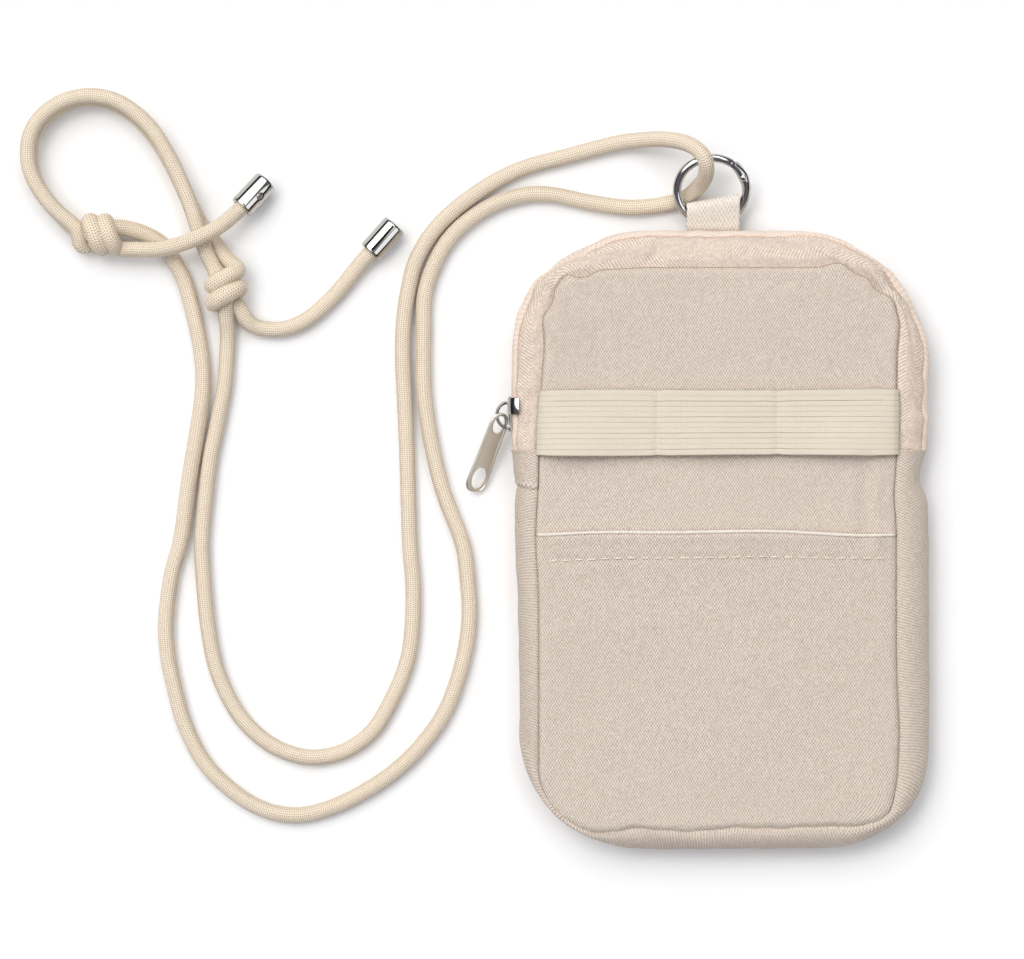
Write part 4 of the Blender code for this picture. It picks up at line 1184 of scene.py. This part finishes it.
def make_ring():
    """The spring-gate ring: its body with a slot for the gate's tongue, the gate and their rivet."""
    pin, tip = on_ring(PIN_ANGLE), on_ring(TIP_ANGLE)
    chord = Vector(tip - pin).normalized()
    angles = np.linspace(TIP_ANGLE - 6, 360 + SEAM_ANGLE, 150)
    swell = RING_WIRE + 0.42 * hump(angles, 360 + PIN_ANGLE, 17.0)
    body = tube_object("split_ring", on_ring(angles), swell[:, None], 28, CHROME)
    trim(body, tip + np.array(chord) * 0.3, -chord)
    gap = tube_object("gap", ring_arc(*GAP_ARC), 2.6, 24, CHROME)
    cut(body, cut(gap, slab(GAP_HALF), "INTERSECT"))
    sharp_by_angle(bevel(body, 0.12, 2, 40), 40)
    settle(body, "ring", "chrome", "ring_body")
    gate = tube_object("ring_latch", ring_arc(SEAM_ANGLE + 1.6, TIP_ANGLE + 6), RING_WIRE - 0.03, 28, CHROME)
    tongue = tube_object("tongue", ring_arc(PIN_ANGLE - 5, SEAM_ANGLE + 6), 1.2, 24, CHROME)
    cut(gate, cut(tongue, slab(TONGUE_HALF), "INTERSECT"), "UNION")
    trim(gate, tip, chord)
    sharp_by_angle(bevel(gate, 0.1, 2, 40), 40)
    settle(gate, "gate", "chrome", "ring_gate")
    place = turned_at(pin, RING_PLACE.to_3x3().to_4x4())
    profile = RIVET_HALF + [(r, -z) for r, z in RIVET_HALF[::-1]]
    settle(lathe("ring_pin", profile, CHROME, place, 36), "ring", "chrome", "ring_rivet")


def make_spring():
    """The gate's small coil spring, in its bore."""
    low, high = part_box("gate_spring")
    way = Vector((0.24, -0.88, -0.41)).normalized()
    side = way.cross(Vector((0, 0, 1))).normalized()
    share = np.linspace(0, 1, 141)[:, None]
    a = share * 140 * 2 * math.pi / 16
    line = np.array((low + high) / 2 / MM) + (3.0 * share - 1.5) * np.array(way)
    line = line + 0.2 * (np.cos(a) * np.array(side) + np.sin(a) * np.array(side.cross(way)))
    settle(tube_object("latch_spring", line, 0.08, 6, STEEL), "ring", "steel", "gate_spring")


def slider_plate(name, x0, x1, shrink=0.0):
    """A plate of the slider between two x, with its edge drawn in by shrink."""
    half = [(y + (shrink if y < 41 else -shrink), h * (1 - shrink / 3.3)) for y, h in SLIDER_EDGE]
    ring = [(y, MIDDLE_Z + h) for y, h in half] + [(y, MIDDLE_Z - h) for y, h in half[::-1]]
    count = len(ring)
    faces = [tuple(range(count))[::-1], tuple(range(count, 2 * count))]
    faces += [(i, (i + 1) % count, count + (i + 1) % count, count + i) for i in range(count)]
    plate = mesh_object(name, [(x, y, z) for x in (x0, x1) for y, z in ring], faces, NICKEL, smooth=False)
    with editing(plate.data) as shape:
        bmesh.ops.recalc_face_normals(shape, faces=shape.faces)
    return bevel(plate, 0.16, 3, 30)


def slider_wall(sign):
    """The arched wall that grips one tape."""
    rows = []
    for y in np.concatenate([[40.9, 41.05], np.linspace(41.3, 45.6, 8), [45.95, 46.2]]):
        arch = 0.5 * math.sin(math.pi * (y - 40.9) / 5.3)
        rows.append([(x, y, MIDDLE_Z + sign * (z - MIDDLE_Z + arch)) for x, z in SLIDER_WALL])
    uv = np.zeros((len(rows), len(SLIDER_WALL), 2))
    wall = cloth("wall", np.array(rows), uv, NICKEL, 0.55, sign > 0, 0.0)
    return bevel(apply_modifiers(wall), 0.14, 2, 40)


def block(x0, x1, y0, y1, half, width, segments=2):
    """A rounded block of the slider, half as high as half each way from its middle."""
    low, high = (CHAIN_X + x0, y0, MIDDLE_Z - half), (CHAIN_X + x1, y1, MIDDLE_Z + half)
    return bevel(box_object("block", low, high, NICKEL), width, segments)


def make_slider():
    """The slider: a plate outside the chain, side walls, an inner plate, a post, and the pull's wire."""
    body = slider_plate("slider_body", CHAIN_X - 1.95, CHAIN_X - 1.15)
    pieces = [slider_plate("inner", CHAIN_X + 1.3, CHAIN_X + 2.0, 0.5), slider_wall(1), slider_wall(-1)]
    pieces.append(block(-1.4, 1.6, SLIDER_HIGH - 3.0, SLIDER_HIGH - 0.7, 0.3, 0.1))
    pieces += [block(-2.5, -1.8, y - 0.75, y + 0.75, 0.75, 0.25, 3) for y in (36.9, 44.5)]
    sharp_by_angle(join(body, pieces), 35)
    settle(body, "slider", "nickel", "zipper_slider")
    (x, y), (reach_x, reach_y) = BRIDGE_CENTRE, BRIDGE_REACH
    arc = [(x + reach_x * math.cos(a), y + reach_y * math.sin(a), MIDDLE_Z)
           for a in np.radians(np.linspace(90, 270, 40))]
    wire = [(x + 0.9, y + reach_y, MIDDLE_Z), *arc[::3], arc[-1], (x + 0.9, y - reach_y, MIDDLE_Z)]
    # The wire takes the darker nickel copy: painted dark reflections.
    bridge = tube_object("slider_loop", smooth_line(wire, 0.2), 0.5, 20, NICKEL_PAINTED_DARK)
    settle(bridge, "slider", "nickel", "slider_bridge")


def make_stops():
    """Folded metal stops at the chain's ends, a little further in than their nodes."""
    for side, inwards in (("left", 1.5), ("right", -1.5)):
        low, high = (corner / MM + Vector((inwards, 0, 0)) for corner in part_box(f"zipper_stop_{side}"))
        stop = bevel(box_object(f"zip_stop_{side}", low, high, NICKEL), 0.35, 4)
        settle(sharp_by_angle(stop, 40), "pouch", "nickel", f"zipper_stop_{side}")


def pull_place():
    heading = Vector(PULL_HEADING).normalized()
    drop = math.radians(PULL_DROP)
    along = (heading * math.cos(drop) - Vector(UP) * math.sin(drop)).normalized()
    across = along.cross(Vector(UP)).normalized()
    turn = Matrix((across, along, across.cross(along))).transposed()
    turn = turn @ Matrix.Rotation(math.radians(PULL_ROLL), 3, "Y")
    return turned_at(PULL_AT, turn.to_4x4())


def loop_line(points, step=0.3):
    """A closed smooth line through (x, y) points, at even steps."""
    wrapped = points[-2:] + points + points[:3]
    line = smooth_line([(x, y, 0) for x, y in wrapped], step)
    away = np.linalg.norm(line - (*points[0], 0), axis=1)
    third, half = len(line) // 3, len(line) // 2
    return line[np.argmin(away[:third]):half + np.argmin(away[half:])]


def make_pull():
    """The pull tab: a thin plate between raised rims round its edge, its eye and its hole."""
    edge = PULL_EDGE + [(-x, y) for x, y in PULL_EDGE[-2:0:-1]]
    edge = edge[-2:] + edge[:-2]
    eye = [(2.0 * math.sin(a) * (0.96 + 0.04 * math.cos(a)), 0.55 - 3.0 * math.cos(a)) for a in circle(20)]
    hole = [(2.35 * math.sin(a), 19.4 + 3.65 * math.cos(a)) for a in circle(20)]
    curve = bpy.data.curves.new("pull", "CURVE")
    curve.dimensions, curve.fill_mode, curve.extrude = "2D", "BOTH", PULL_HALF * MM
    rims = []
    for points, inset, size in ((edge, 0.28, 0.5), (eye, -0.28, 0.32), (hole, -0.28, 0.32)):
        line = loop_line(points)
        spline = curve.splines.new("POLY")
        spline.points.add(len(line) - 1)
        for point, at in zip(spline.points, line):
            point.co = (at[0] * MM, at[1] * MM, 0, 1)
        spline.use_cyclic_u = True
        line = line - unit(line - line.mean(0)) * inset
        rims.append(tube_object("rim", line, size, 12, PULL_METAL, closed=True))
    flat = link(bpy.data.objects.new("flat", curve))
    bpy.context.view_layer.update()
    mesh = bpy.data.meshes.new_from_object(flat.evaluated_get(bpy.context.evaluated_depsgraph_get()))
    bpy.data.objects.remove(flat)
    mesh.materials.append(PULL_METAL)
    pull = join(link(bpy.data.objects.new("pull_plate", mesh)), rims)
    with editing(pull.data) as shape:
        bmesh.ops.remove_doubles(shape, verts=shape.verts, dist=1e-6)
    pull.data.transform(pull_place())
    settle(sharp_by_angle(pull, 40), "pull", "nickel", "pull_tab")


make_loop()
make_ring()
make_spring()
make_slider()
make_stops()
make_pull()
